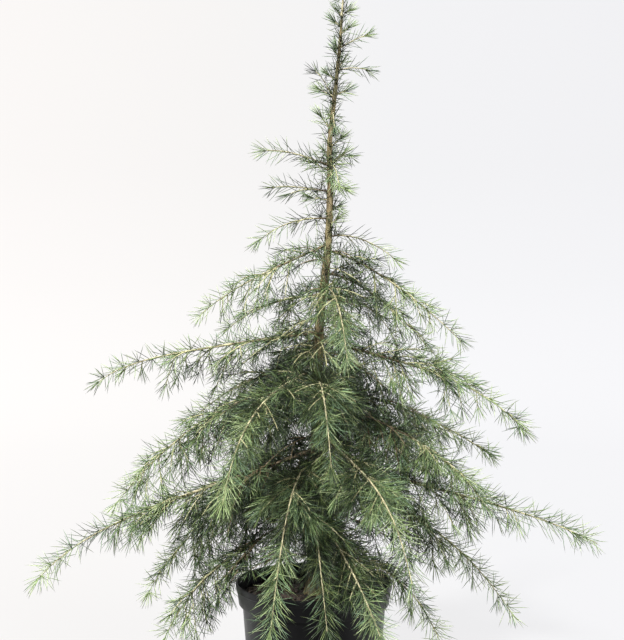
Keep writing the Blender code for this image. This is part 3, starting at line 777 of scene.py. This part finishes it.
FINE_SPACING = 0.020
FINE_SHARE = 0.42
FINE_VARIES = (0.75, 1.25)
FINE_ROLLS = (280, 80)
FINE_ROLL_SPREAD = 35
FINE_ANGLE = 46
FINE_SHORTEST = 0.011
FINE_RADIUS = 0.0007
INNER_SPACING = 0.007
INNER_END = 0.2
INNER_LENGTH = (0.020, 0.060)
INNER_FULL_REACH = 0.2
INNER_ANGLE = 62
INNER_SHORTEST = 0.010
INNER_LEAST_FULLNESS = 0.5
# How many twigs a limb has between its stations, where that isn't the usual number.
FULLNESS = {
    "left_1": 0.45, "left_2": 0.2, "left_3": 0.8, "left_4": 0.8, "left_5": 0.7,
    "right_1": 0.4, "right_2": 0.8, "right_3": 0.9, "right_4": 0.5, "right_5": 0.45, "right_6": 1.1,
    "front_1": 0.6, "front_2": 0.5, "front_3": 0.5, "front_4": 0.6, "front_5": 0.8, "front_6": 0.3,
    "front_7": 0.5, "back_1": 0.7, "back_2": 0.8, "left_back_1": 0.15, "left_back_2": 0.7,
    "left_back_3": 0.6, "right_back_1": 0.2, "right_back_2": 0.9,
}
# Limbs whose twigs hang like a curtain as far out as a share, with their shortest and longest.
CURTAINS = {
    "left_3": (0.86, 0.026, 0.062), "left_4": (0.50, 0.026, 0.050), "left_5": (0.80, 0.026, 0.055),
    "right_1": (0.80, 0.010, 0.028), "right_2": (0.60, 0.026, 0.060), "right_6": (0.60, 0.020, 0.050),
    "left_back_3": (0.75, 0.026, 0.060), "right_back_2": (0.50, 0.026, 0.060),
}
# Shoots straight from the trunk, as stretches of (low, high, count) and lengths at heights.
SIDE_SHOOT_STRETCHES = ((0.215, 0.485, 34), (0.485, 0.560, 22), (0.560, 0.640, 9))
SIDE_SHOOT_LENGTHS = (
    (0.215, 0.105), (0.44, 0.080), (0.49, 0.095), (0.55, 0.095), (0.58, 0.055), (0.64, 0.045))
SIDE_SHOOT_VARIES = (0.7, 1.2)
SIDE_SHOOT_TURN = 0.3
SIDE_SHOOT_RISE = (-0.1, 0.45)
SIDE_SHOOT_SHARE = 0.12
CLEAR_STEM = 0.545
CLEAR_FRONT = -0.6
OLD_TWIGS_LOW = 0.75
OLD_TWIGS_HIGH = 0.3
TWIG_WOODS = {
    "brown_twigs": (
        (0.30, (0.105, 0.075, 0.040)), (0.55, (0.205, 0.155, 0.082)), (0.75, (0.300, 0.240, 0.130))),
    "pale_twigs": (
        (0.30, (0.320, 0.300, 0.140)), (0.55, (0.440, 0.420, 0.230)), (0.75, (0.560, 0.540, 0.330))),
}

UP = np.array((0.0, 0.0, 1.0))
Twig = namedtuple("Twig", "limb share rank line thickness")


def has_room(limb, point, margin=SPACE_MARGIN, clear=0.0):
    """Whether a point is in the limb's own space and clear of trunk, pot and floor. A margin below
    zero lets it reach that far past the middle between two limbs, but not nearer one than clear."""
    gaps = np.linalg.norm(LIMB_LINES - point, axis=2).min(axis=1)
    own = LIMBS.index(limb)
    others = np.delete(gaps, own)
    off_trunk = (np.linalg.norm(TRUNK_LINE - point, axis=1) - TRUNK_RADII).min()
    over_pot = math.hypot(point[0], point[1]) < RIM_RADIUS + POT_CLEAR
    lowest = POT_HEIGHT + POT_CLEAR if over_pot else FLOOR_CLEAR
    roomy = gaps[own] + margin < others.min() and others.min() > clear
    return roomy and off_trunk > TRUNK_CLEAR and point[2] > lowest


def unit(vector):
    return vector / np.linalg.norm(vector)


def frame_along(tangent):
    """Sideways and upward unit vectors square to a tangent."""
    side = unit(np.cross(tangent, UP))
    return side, np.cross(side, tangent)


def twig_points(limb, root, tangent, roll, length, angle=TWIG_ANGLE, step=TWIG_STEP,
                droop=TWIG_DROOP, room=(SPACE_MARGIN, 0.0)):
    """Stations of a side twig that leaves forward, droops, and stops where its space ends."""
    side, above = frame_along(tangent)
    angle = math.radians(angle)
    roll = math.radians(roll)
    outward = side * math.sin(roll) + above * math.cos(roll)
    pitch = math.sin(math.radians(TWIG_PITCH))
    heading = unit(tangent * math.cos(angle) + outward * math.sin(angle) - UP * pitch)

    def at(run):
        return root + heading * run - UP * droop * run**2 / length

    run = step
    while run < length and has_room(limb, at(run + TWIG_CLEAR), *room):
        run += step
    run = min(run, length)
    count = max(2, round(run / step))
    return run, np.array([at(run * i / count) for i in range(count + 1)])


def bare_share(limb):
    half = np.linalg.norm(limb_point(limb, 0.5) - limb_point(limb, 0))
    return 0.5 * BARE_LENGTH / half


def first_twigs(limb, start, clear_root, draw):
    """The side twigs that the solids have, at the same stations and from the same draws."""
    count = max(3, round(limb_length(limb, start) / STATION))
    shares = [start + (1 - start) * i / count for i in range(count + 1)]
    points = [limb_point(limb, share) for share in shares]
    longest = min(TWIG_LONGEST, TWIG_REACH_SHARE * limb.reach)
    twigs = []
    for i in range(1, len(points) - 1):
        wanted = longest * (1 - shares[i]) ** TWIG_FADE * draw.uniform(*TWIG_VARIES)
        roll = TWIG_ROLLS[i % len(TWIG_ROLLS)] + draw.uniform(-TWIG_ROLL_SPREAD, TWIG_ROLL_SPREAD)
        if wanted < TWIG_SHORTEST or np.linalg.norm(points[i] - points[0]) < clear_root:
            continue
        run, line = twig_points(limb, points[i], unit(points[i + 1] - points[i - 1]), roll, wanted)
        if run >= TWIG_SHORTEST:
            twigs.append(Twig(limb, shares[i], 1, line, TWIG_RADIUS))
    return shares, twigs


def limb_tangent(limb, share, ahead):
    return unit(limb_point(limb, share + ahead) - limb_point(limb, share))


def twigs_between(limb, shares, draw):
    """Twigs between the stations: long and hanging on the inner run, short tufts towards the tip."""
    longest = min(TWIG_LONGEST, TWIG_REACH_SHARE * limb.reach)
    rolls = ALL_ROUND if limb.height > OPEN_HEIGHT else BETWEEN_ROLLS
    curtain, shortest, hanging = CURTAINS.get(limb.name, (0.0, 0.0, 0.0))
    count = round(BETWEEN_PER_STATION * FULLNESS.get(limb.name, 1.0) * (len(shares) - 1))
    twigs = []
    for i in range(count):
        share = shares[0] + (1 - shares[0]) * (i + draw.uniform(*BETWEEN_PLACES)) / count
        wanted = longest * (1 - share) ** TWIG_FADE * draw.uniform(*BETWEEN_VARIES)
        roll = rolls[draw.randrange(len(rolls))] + draw.uniform(-BETWEEN_ROLL_SPREAD, BETWEEN_ROLL_SPREAD)
        outer = share > max(FULL_SHARE, curtain)
        if share > BETWEEN_END or outer and draw.random() > OUTER_KEPT:
            continue
        if share < curtain:
            wanted = max(wanted, draw.uniform(shortest, hanging))
        elif outer or wanted < 2 * BETWEEN_SHORTEST:
            wanted = draw.uniform(*BETWEEN_TUFT)
        run, line = twig_points(
            limb, limb_point(limb, share), limb_tangent(limb, share, 0.01), roll, wanted,
            draw.uniform(*BETWEEN_ANGLES), LATER_STEP, BETWEEN_DROOP * draw.uniform(*BETWEEN_DROOP_VARIES),
            SHARED_ROOM)
        if run >= 0.5 * BETWEEN_SHORTEST:
            twigs.append(Twig(limb, share, 1, line, LATER_TWIG_RADIUS))
    return twigs


def inner_twigs(limb, end, draw):
    """Twigs on the first stretch of a limb, next to the trunk."""
    twigs = []
    fullness = min(1.0, max(INNER_LEAST_FULLNESS, FULLNESS.get(limb.name, 1.0)))
    count = int(limb_length(limb) * end * fullness / INNER_SPACING)
    for i in range(count):
        share = end * (i + 0.5) / count
        wanted = draw.uniform(*INNER_LENGTH) * min(1.0, limb.reach / INNER_FULL_REACH)
        run, line = twig_points(
            limb, limb_point(limb, share), limb_tangent(limb, share, 0.02), draw.uniform(0, 360), wanted,
            INNER_ANGLE, LATER_STEP, TWIG_DROOP, SHARED_ROOM)
        if run >= INNER_SHORTEST:
            twigs.append(Twig(limb, share, 1, line, LATER_TWIG_RADIUS))
    return twigs


def fine_twigs(twig, draw):
    """Finer twigs on both sides of a twig."""
    line = twig.line
    length = np.linalg.norm(np.diff(line, axis=0), axis=1).sum()
    count = int(length / FINE_SPACING)
    fine = []
    for i in range(1, count + 1):
        part = i / (count + 1)
        place = part * (len(line) - 1)
        low = min(int(place), len(line) - 2)
        root = line[low] + (line[low + 1] - line[low]) * (place - low)
        tangent = unit(line[low + 1] - line[low])
        wanted = FINE_SHARE * length * (1 - part) * draw.uniform(*FINE_VARIES)
        roll = FINE_ROLLS[i % 2] + draw.uniform(-FINE_ROLL_SPREAD, FINE_ROLL_SPREAD)
        if wanted < FINE_SHORTEST:
            continue
        run, points = twig_points(
            twig.limb, root, tangent, roll, wanted, FINE_ANGLE, LATER_STEP, TWIG_DROOP, SHARED_ROOM)
        if run >= FINE_SHORTEST:
            fine.append(Twig(twig.limb, twig.share, 2, points, FINE_RADIUS))
    return fine


twigs = []
for limb in LIMBS:
    draw = random.Random(limb.name)
    on_trunk = limb in TRUNK_LIMBS or limb in SHOOTS
    start = bare_share(limb) if limb in BOUGH_LIMBS else GAP / -LEADER.drop if limb is LEADER else 0.0
    in_trunk = trunk_radius(limb.height) if on_trunk else 0.0
    shares, grown = first_twigs(limb, start, in_trunk + STATION / 2, draw)
    if limb is not LEADER and limb not in SHOOTS:
        grown += twigs_between(limb, shares, draw)
        grown += inner_twigs(limb, max(start, INNER_END), draw)
        for twig in list(grown):
            grown += fine_twigs(twig, draw)
    twigs += grown
draw = random.Random("side shoots")
side_shoot_heights = np.concatenate([np.linspace(*stretch) for stretch in SIDE_SHOOT_STRETCHES])
for i, height in enumerate(side_shoot_heights):
    length = float(np.interp(height, *zip(*SIDE_SHOOT_LENGTHS)))
    turn = math.tau * GOLDEN * i + draw.uniform(-SIDE_SHOOT_TURN, SIDE_SHOOT_TURN)
    heading = np.array((math.cos(turn), math.sin(turn), draw.uniform(*SIDE_SHOOT_RISE)))
    if height > CLEAR_STEM and heading[1] < CLEAR_FRONT:
        continue
    length *= draw.uniform(*SIDE_SHOOT_VARIES)
    runs = np.linspace(0, length, max(4, round(length / TWIG_STEP)))[:, None]
    line = trunk_axis(height) + unit(heading) * runs - UP * BETWEEN_DROOP * runs**2 / length
    nearest = min(LIMBS[:-1], key=lambda limb: np.linalg.norm(limb_point(limb, INNER_END) - line[-1]))
    shoot = Twig(nearest, SIDE_SHOOT_SHARE, 1, line, TWIG_RADIUS)
    twigs += [shoot] + fine_twigs(shoot, draw)


def is_old(twig):
    share = OLD_TWIGS_HIGH if twig.limb.height > OPEN_HEIGHT else OLD_TWIGS_LOW
    return twig.share < old_share[twig.limb.name] * share


for name, stops in TWIG_WOODS.items():
    grown = [twig for twig in twigs if is_old(twig) == (name == "brown_twigs")]
    radii = [np.linspace(twig.thickness, TWIG_TIP_RADIUS, len(twig.line)) for twig in grown]
    stems = round_stems(name, [twig.line for twig in grown], radii, TWIG_SIDES)
    shade_round(stems, 80)
    finish_piece(stems, name, rough_finish(name, 0.7, 90, 3, stops), FOLIAGE)

# Needles: stiff, slim and pointed, singly in a spiral round this year's wood and in dense tufts on short
# spurs of older wood. Each spray is dealt one of a few greens, and a few of its needles drift to the greens
# next to it. The greens are fresher towards the tips, as young growth is, and darker towards the trunk,
# partly as older needles are and partly as painted shade. Painted shade also darkens the front sprays, and
# painted light lightens the open upper crown and the right side.
NEEDLE_RADIUS = 0.00050
NEEDLE_RINGS = ((0.0, 0.8), (0.70, 0.9))
NEEDLE_FACES = np.array((
    (0, 2, 1), (0, 1, 4), (0, 4, 3), (1, 2, 5), (1, 5, 4),
    (2, 0, 3), (2, 3, 5), (3, 4, 6), (4, 5, 6), (5, 3, 6)))
MOST_NEEDLES = 19500
NEEDLE_LENGTHS = ((0.0, 0.031), (0.35, 0.031), (0.50, 0.029), (0.60, 0.027), (0.75, 0.028), (1.0, 0.023))
GOLDEN_TURN = math.radians(137.5)
# The deep green is a near-black painted shade for sprays inside the crown, and the shaded green is painted
# shade too.
TINTS = {
    "deep": (0.013, 0.024, 0.009),
    "shaded": (0.048, 0.079, 0.028),
    "olive": (0.175, 0.230, 0.078),
    "mid": (0.138, 0.215, 0.083),
    "blue": (0.140, 0.226, 0.122),
    "fresh": (0.265, 0.365, 0.145),
    "pale": (0.420, 0.510, 0.260),
}
GREENS = list(TINTS)
DRIFT = (-3, -2, -1, -1, 0, 0, 0, 0, 1, 1, 2, 3)
# The greens that a spray is dealt from, up to each score, from the shaded foot to the open tips.
TINT_STEPS = (
    (0.12, ("deep",)),
    (0.26, ("shaded",)),
    (0.44, ("olive", "mid", "blue")),
    (0.68, ("mid", "blue", "fresh")),
    (math.inf, ("fresh", "mid", "blue", "fresh")),
)
# Greens darken with a lower share: older inner needles are darker, and this also paints shade inside the
# crown.
TINT_BY_SHARE = 0.68
TINT_START = -0.05
TINT_VARIES = 0.16
FINE_TWIG_LIGHTER = 0.12
# Painted shade darkens the sprays at the front, the more so near the trunk, low down and above the open
# crown. Painted light lightens the open upper crown and the right side.
INNER_SHADE = 0.24
LOW_HEIGHT = 0.30
LOW_SHADE = 0.15
HIGH_SHADE = 0.05
OPEN_TOP = 0.69
OPEN_CROWN_LIGHT = 0.05
LIT_SIDE = (0.03, 0.32)
LIT_SIDE_LIGHTER = 0.11
# Sprays at the front hang towards the viewer, with more, longer and slimmer needles.
FRONT_DEPTH = 0.14
FRONT_LONGER = 0.16
FRONT_SLIMMER = 0.76
FRONT_TWIG_FULLER = 2.1
FRONT_LIMB_FULLER = 2.2
FRONT_LEAN = 8
# Single needles in a spiral: their number to the metre, lean, brush at the tip and how they vary.
LIMB_NEEDLES = 390
SHOOT_NEEDLES = 480
LOW_TWIG_NEEDLES = 350
HIGH_TWIG_NEEDLES = 205
LIMB_LEAN = 54
TWIG_LEAN = 52
TIP_LEAN = 30
TIP_SHORTER = 0.22
TIP_RUN = 0.014
BRUSH = 7
LIMB_TIP_RUN = 0.018
LIMB_BRUSH = 9
LIMB_STRETCH = 8
NEEDLE_PLACES = (0.1, 0.9)
NEEDLE_VARIES = (0.80, 1.10)
ROLL_VARIES = 0.25
LEAN_VARIES = 12
CURL_ALONG, CURL_OUT, CURL_UP = 0.05, -0.02, -0.01
# Tufts: spacing and needles in each, on young limbs, on old ones and on the trunk.
YOUNG_TUFTS = (0.015, 9)
OLD_TUFTS = (0.0045, 10)
OLD_TUFTS_START = 0.06
TRUNK_TUFTS = (0.005, 8)
TRUNK_TUFT_HEIGHTS = (0.50, 0.97, 0.03)
TUFT_SHORTER = 0.9
TUFT_PLACES = (0.2, 0.8)
TUFT_COUNTS = (0.7, 1.2)
TUFT_LEANS = (10, 62, 7)
TUFT_VARIES = (0.72, 1.05)
TUFT_ROLL_VARIES = 0.5
TUFT_CURL_OUT, TUFT_CURL_UP = 0.04, -0.02
TUFT_UPWARD = 0.3
TRUNK_TUFT_UPWARD = 0.5
SPUR_FORWARD = 0.5
SPUR_HEIGHT = 0.001
OLD_TINT_SHARE = 0.8
TRUNK_TINT_SHARE = 0.2
BARK_CLEAR = 0.0004
RIM_CLEAR = 0.003
LIP_CLEAR = 0.002
REACH_MARGIN = 0.001
LIMB_SEEDS, TWIG_SEEDS, TRUNK_SEED = 1000, 5000, 77

beds = {tint: [] for tint in TINTS}
LOWEST = np.array(solid_box[0]) + REACH_MARGIN
HIGHEST = np.array(solid_box[1]) - REACH_MARGIN


def rows_unit(rows):
    return rows / np.maximum(np.linalg.norm(rows, axis=1), 1e-9)[:, None]


def is_clear(points):
    """Which points are clear of trunk, pot, compost and floor, and within the solids' reach."""
    heights = np.clip(points[:, 2], COMPOST_LEVEL, TRUNK_TOP)
    axis = np.column_stack([np.interp(heights, TRUNK_HEIGHTS, TRUNK_LINE[:, i]) for i in range(2)])
    off_axis = np.linalg.norm(points[:, :2] - axis, axis=1)
    bark = np.interp(heights, TRUNK_HEIGHTS, TRUNK_RADII) + BARK_CLEAR
    off_trunk = (off_axis > bark) | (points[:, 2] > TRUNK_TOP)
    from_middle = np.hypot(points[:, 0], points[:, 1])
    off_pot = (from_middle > RIM_RADIUS + RIM_CLEAR) | (points[:, 2] > POT_HEIGHT + LIP_CLEAR)
    return off_trunk & off_pot & ((points > LOWEST) & (points < HIGHEST)).all(axis=1)


def lay(tint, chance, feet, aims, lengths, curls):
    """Keeps the needles that are clear along their length, and puts each in the bed of the
    spray's tint or of one next to it."""
    tips = feet + aims * lengths[:, None] + curls
    middles = feet + aims * (0.5 * lengths)[:, None] + 0.3 * curls
    kept = is_clear(tips) & is_clear(middles)
    level = np.clip(GREENS.index(tint) + chance.choice(DRIFT, len(feet)), 0, len(GREENS) - 1)
    for i, green in enumerate(GREENS):
        own = kept & (level == i)
        beds[green].append((feet[own], aims[own], lengths[own], curls[own]))


def paced(line):
    """A line's steps, their lengths, and the run from its start to each of its points."""
    steps = np.diff(line, axis=0)
    runs = np.linalg.norm(steps, axis=1)
    return steps, runs, np.concatenate(([0.0], np.cumsum(runs)))


def needles_round(line, thickness, tint, per_metre, longest, chance, plain=0.003, lean=TWIG_LEAN,
                  tip_run=TIP_RUN, brush=BRUSH):
    """Single needles in a spiral round a stem, leaning forward, and closing to a brush at its tip."""
    steps, runs, ends = paced(line)
    total = ends[-1]
    count = max(2, int((total - plain) * per_metre))
    order = np.arange(count)
    places = plain + (total - plain) * (order + chance.uniform(*NEEDLE_PLACES, count)) / count
    places = np.concatenate((places, total - chance.uniform(0, 0.4 * tip_run, brush)))
    places = np.clip(places, 0, total)
    count += brush
    index = np.clip(np.searchsorted(ends, places) - 1, 0, len(runs) - 1)
    along = steps[index] / runs[index][:, None]
    feet = line[index] + along * (places - ends[index])[:, None]
    side = np.cross(along, UP)
    upright = np.linalg.norm(side, axis=1) < 0.05
    side[upright] = (1.0, 0.0, 0.0)
    side = rows_unit(side)
    above = np.cross(side, along)
    roll = GOLDEN_TURN * np.arange(count) + chance.uniform(0, math.tau) + chance.normal(0, ROLL_VARIES, count)
    outward = side * np.cos(roll)[:, None] + above * np.sin(roll)[:, None]
    to_tip = np.clip((total - places) / tip_run, 0, 1)
    leans = np.radians(lean - TIP_LEAN * (1 - to_tip) + chance.normal(0, LEAN_VARIES, count))
    lengths = longest * (1 - TIP_SHORTER * (1 - to_tip)) * chance.uniform(*NEEDLE_VARIES, count)
    aims = along * np.cos(leans)[:, None] + outward * np.sin(leans)[:, None]
    curls = (along * CURL_ALONG + outward * CURL_OUT + UP * CURL_UP) * lengths[:, None]
    lay(tint, chance, feet + outward * (0.5 * thickness), aims, lengths, curls)


def tufts_along(line, thickness, tint, tufts, longest, chance, upward=TUFT_UPWARD):
    """Tufts of needles on short spurs round a stem of older wood."""
    spacing, per_tuft = tufts
    steps, runs, ends = paced(line)
    for i in range(int(ends[-1] / spacing)):
        place = (i + chance.uniform(*TUFT_PLACES)) * spacing
        at = min(int(np.searchsorted(ends, place)) - 1, len(runs) - 1)
        along = steps[at] / runs[at]
        side, above = frame_along(along)
        roll = GOLDEN_TURN * i + chance.uniform(-TUFT_ROLL_VARIES, TUFT_ROLL_VARIES)
        spur = unit(side * math.cos(roll) + above * math.sin(roll) + along * SPUR_FORWARD + UP * upward)
        foot = line[at] + along * (place - ends[at]) + spur * (thickness + SPUR_HEIGHT)
        across, over = frame_along(spur) if abs(spur[2]) < 0.98 else np.eye(3)[:2]
        count = max(4, int(per_tuft * chance.uniform(*TUFT_COUNTS)))
        order = np.arange(count)
        inner, spread, varies = TUFT_LEANS
        leans = np.radians(inner + spread * np.sqrt((order + 0.5) / count) + chance.normal(0, varies, count))
        turns = GOLDEN_TURN * order
        outward = across * np.cos(turns)[:, None] + over * np.sin(turns)[:, None]
        aims = spur * np.cos(leans)[:, None] + outward * np.sin(leans)[:, None]
        lengths = longest * chance.uniform(*TUFT_VARIES, count)
        curls = (spur * TUFT_CURL_OUT + UP * TUFT_CURL_UP) * lengths[:, None]
        lay(tint, chance, np.tile(foot, (count, 1)), aims, lengths, curls)


def frontness(point):
    return min(1.0, max(0.0, -point[1] / FRONT_DEPTH))


def needle_length(point):
    """Needles are shorter towards the top of the tree, and longest on the boughs at the front."""
    return float(np.interp(point[2], *zip(*NEEDLE_LENGTHS))) * (1 + FRONT_LONGER * frontness(point))


def deal_tint(share, rank, chance, point):
    """A spray's green: lighter and fresher towards the tips, and darker by the trunk, partly as painted
    shade. Painted shade darkens the front sprays, most near the trunk and low down, and painted light
    lightens the open upper crown and the right side.
    """
    x, height = point[0], point[2]
    score = TINT_BY_SHARE * share + FINE_TWIG_LIGHTER * (rank == 2)
    # Painted light: sprays in the open upper crown are lightened.
    if OPEN_HEIGHT < height < OPEN_TOP:
        score += OPEN_CROWN_LIGHT
    else:
        # Painted shade: sprays at the front are darkened, most near the trunk and low down.
        darker = INNER_SHADE * (1 - share) + (LOW_SHADE if height < LOW_HEIGHT else HIGH_SHADE)
        score -= darker * frontness(point)
    # Painted light: sprays on the right side of the middle crown are lightened.
    if x > LIT_SIDE[0] and LIT_SIDE[1] < height < OPEN_HEIGHT:
        score += LIT_SIDE_LIGHTER
    score += TINT_START + chance.normal(0, TINT_VARIES)
    greens = next(greens for limit, greens in TINT_STEPS if score < limit)
    return greens[0] if len(greens) == 1 else greens[int(chance.integers(len(greens)))]


for number, limb in enumerate(LIMBS):
    chance = np.random.default_rng(LIMB_SEEDS + number)
    old = old_share[limb.name]
    line, radii = stretch_of(limb, old, 1.0, BOUGH_STEP)
    parts = max(1, round(len(line) / LIMB_STRETCH))
    for part in range(parts):
        low = part * (len(line) - 1) // parts
        high = (part + 1) * (len(line) - 1) // parts
        piece = line[low:high + 1]
        root = piece[0]
        last = part == parts - 1
        share = old + (1 - old) * (part + 0.5) / parts
        tint = deal_tint(share, 1, chance, root)
        per_metre = SHOOT_NEEDLES if limb in SHOOTS else LIMB_NEEDLES
        needles_round(
            piece, radii[low], tint, per_metre * (1 + FRONT_LIMB_FULLER * frontness(root)),
            needle_length(root), chance, 0.0, LIMB_LEAN,
            LIMB_TIP_RUN if last else 0.0001, LIMB_BRUSH if last else 0)
        if limb not in SHOOTS:
            tufts_along(piece, radii[low], tint, YOUNG_TUFTS, TUFT_SHORTER * needle_length(root), chance, 0.0)
    if old:
        line, radii = stretch_of(limb, OLD_TUFTS_START, old, BOUGH_STEP)
        tint = deal_tint(OLD_TINT_SHARE * old, 1, chance, line[0])
        tufts_along(line, radii[-1], tint, OLD_TUFTS, needle_length(line[0]), chance)
for number, twig in enumerate(twigs):
    chance = np.random.default_rng(TWIG_SEEDS + number)
    root = twig.line[0]
    tint = deal_tint(twig.share, twig.rank, chance, root)
    per_metre = LOW_TWIG_NEEDLES if root[2] < OPEN_HEIGHT else HIGH_TWIG_NEEDLES
    needles_round(
        twig.line, twig.thickness, tint, per_metre * (1 + FRONT_TWIG_FULLER * frontness(root)),
        needle_length(root), chance, lean=TWIG_LEAN - FRONT_LEAN * frontness(root))
chance = np.random.default_rng(TRUNK_SEED)
for low in np.arange(*TRUNK_TUFT_HEIGHTS):
    heights = np.linspace(low, low + TRUNK_TUFT_HEIGHTS[2], 7)
    line = np.array([trunk_axis(height) for height in heights])
    tint = deal_tint(TRUNK_TINT_SHARE, 1, chance, line[0])
    longest = TUFT_SHORTER * needle_length(line[0])
    tufts_along(line, trunk_radius(low), tint, TRUNK_TUFTS, longest, chance, TRUNK_TUFT_UPWARD)

# Spurs: the short side shoots on the upper trunk, of pale young wood, each with a brush of needles.
# Each has a height, a heading, a rise above level and a length.
SPUR_SHOOTS = (
    (0.988, 10, 38, 0.012), (0.984, 170, 60, 0.008), (0.969, 185, 42, 0.012), (0.959, 350, 40, 0.013),
    (0.935, 120, 50, 0.012), (0.925, 240, 48, 0.012), (0.909, 40, 55, 0.016), (0.893, 200, 40, 0.012),
    (0.874, 350, 20, 0.014), (0.872, 180, 25, 0.020), (0.853, 275, -58, 0.030), (0.840, 95, 30, 0.018),
    (0.825, 175, 55, 0.022), (0.800, 330, 35, 0.018), (0.790, 110, 25, 0.020), (0.775, 345, 38, 0.020),
    (0.768, 178, 25, 0.026), (0.775, 292, -62, 0.020), (0.747, 350, -12, 0.018), (0.726, 180, 8, 0.022),
    (0.715, 60, 10, 0.024), (0.690, 300, 20, 0.020), (0.655, 100, 12, 0.024), (0.640, 250, 10, 0.024),
)
SPUR_RADII = np.linspace(0.0011, 0.0006, 5)
SPUR_SIDES = 6
SPUR_NEEDLES = 900
SPUR_LEAN = 50
SPUR_TIP_RUN = 0.012
SPUR_BRUSH = 9
SPUR_GREENS = ("fresh", "mid", "blue")
SPUR_SEEDS = 9000

spur_lines = []
for number, (height, heading, rise, length) in enumerate(SPUR_SHOOTS):
    chance = np.random.default_rng(SPUR_SEEDS + number)
    base = trunk_axis(min(height, TRUNK_TOP))
    bark = trunk_radius(base[2])
    turn, tilt = math.radians(heading), math.radians(rise)
    aim = np.array((math.cos(turn) * math.cos(tilt), math.sin(turn) * math.cos(tilt), math.sin(tilt)))
    line = np.array([base + aim * (length + bark) * part for part in np.linspace(0, 1, len(SPUR_RADII))])
    spur_lines.append(line)
    needles_round(
        line, 0.0008, SPUR_GREENS[number % 3], SPUR_NEEDLES, needle_length(base), chance,
        bark + 0.001, SPUR_LEAN, SPUR_TIP_RUN, SPUR_BRUSH)
spurs = round_stems("trunk_spurs", spur_lines, [SPUR_RADII] * len(spur_lines), SPUR_SIDES)
shade_round(spurs, 70)
finish_piece(spurs, "trunk_spurs", young_wood, FOLIAGE[-10:])

# Each bed of one green becomes one mesh: slim three-sided needles that taper to a point.
for tint, colour in TINTS.items():
    feet, aims, lengths, curls = (np.concatenate(rows) for rows in zip(*beds[tint]))
    green, green_shader, link = new_material(f"needle_{tint}", 0.45)
    green_shader.inputs["Base Color"].default_value = (*colour, 1.0)
    green_shader.inputs["Specular IOR Level"].default_value = 0.6
    wax = mottle(green, (1, 1, 1), 160, 2, ((0.3, grey(0.30)), (0.7, grey(0.52))))[1]
    link(wax.outputs["Color"], green_shader.inputs["Roughness"])
    count = len(feet)
    pieces = math.ceil(count / MOST_NEEDLES)
    for part in range(pieces):
        chosen = slice(part * count // pieces, (part + 1) * count // pieces)
        foot, aim, length, curl = feet[chosen], aims[chosen], lengths[chosen][:, None], curls[chosen]
        across = rows_unit(np.cross(aim, UP) + 1e-4)
        over = np.cross(across, aim)
        chance = np.random.default_rng(part)
        spin = chance.uniform(0, math.tau, len(foot))
        slim = NEEDLE_RADIUS * np.interp(foot[:, 1:2], (-FRONT_DEPTH, 0.0), (FRONT_SLIMMER, 1.0))
        corners = []
        for place, width in NEEDLE_RINGS:
            middle = foot + aim * length * place + curl * place**2
            for turn in (0, math.tau / 3, 2 * math.tau / 3):
                outward = across * np.cos(spin + turn)[:, None] + over * np.sin(spin + turn)[:, None]
                corners.append(middle + slim * width * outward)
        corners.append(foot + aim * length + curl)
        piece = joined_mesh("needles", np.stack(corners, axis=1), NEEDLE_FACES)
        piece.data.shade_smooth()
        finish_piece(piece, f"needles_{tint}_{part + 1}", green, FOLIAGE)
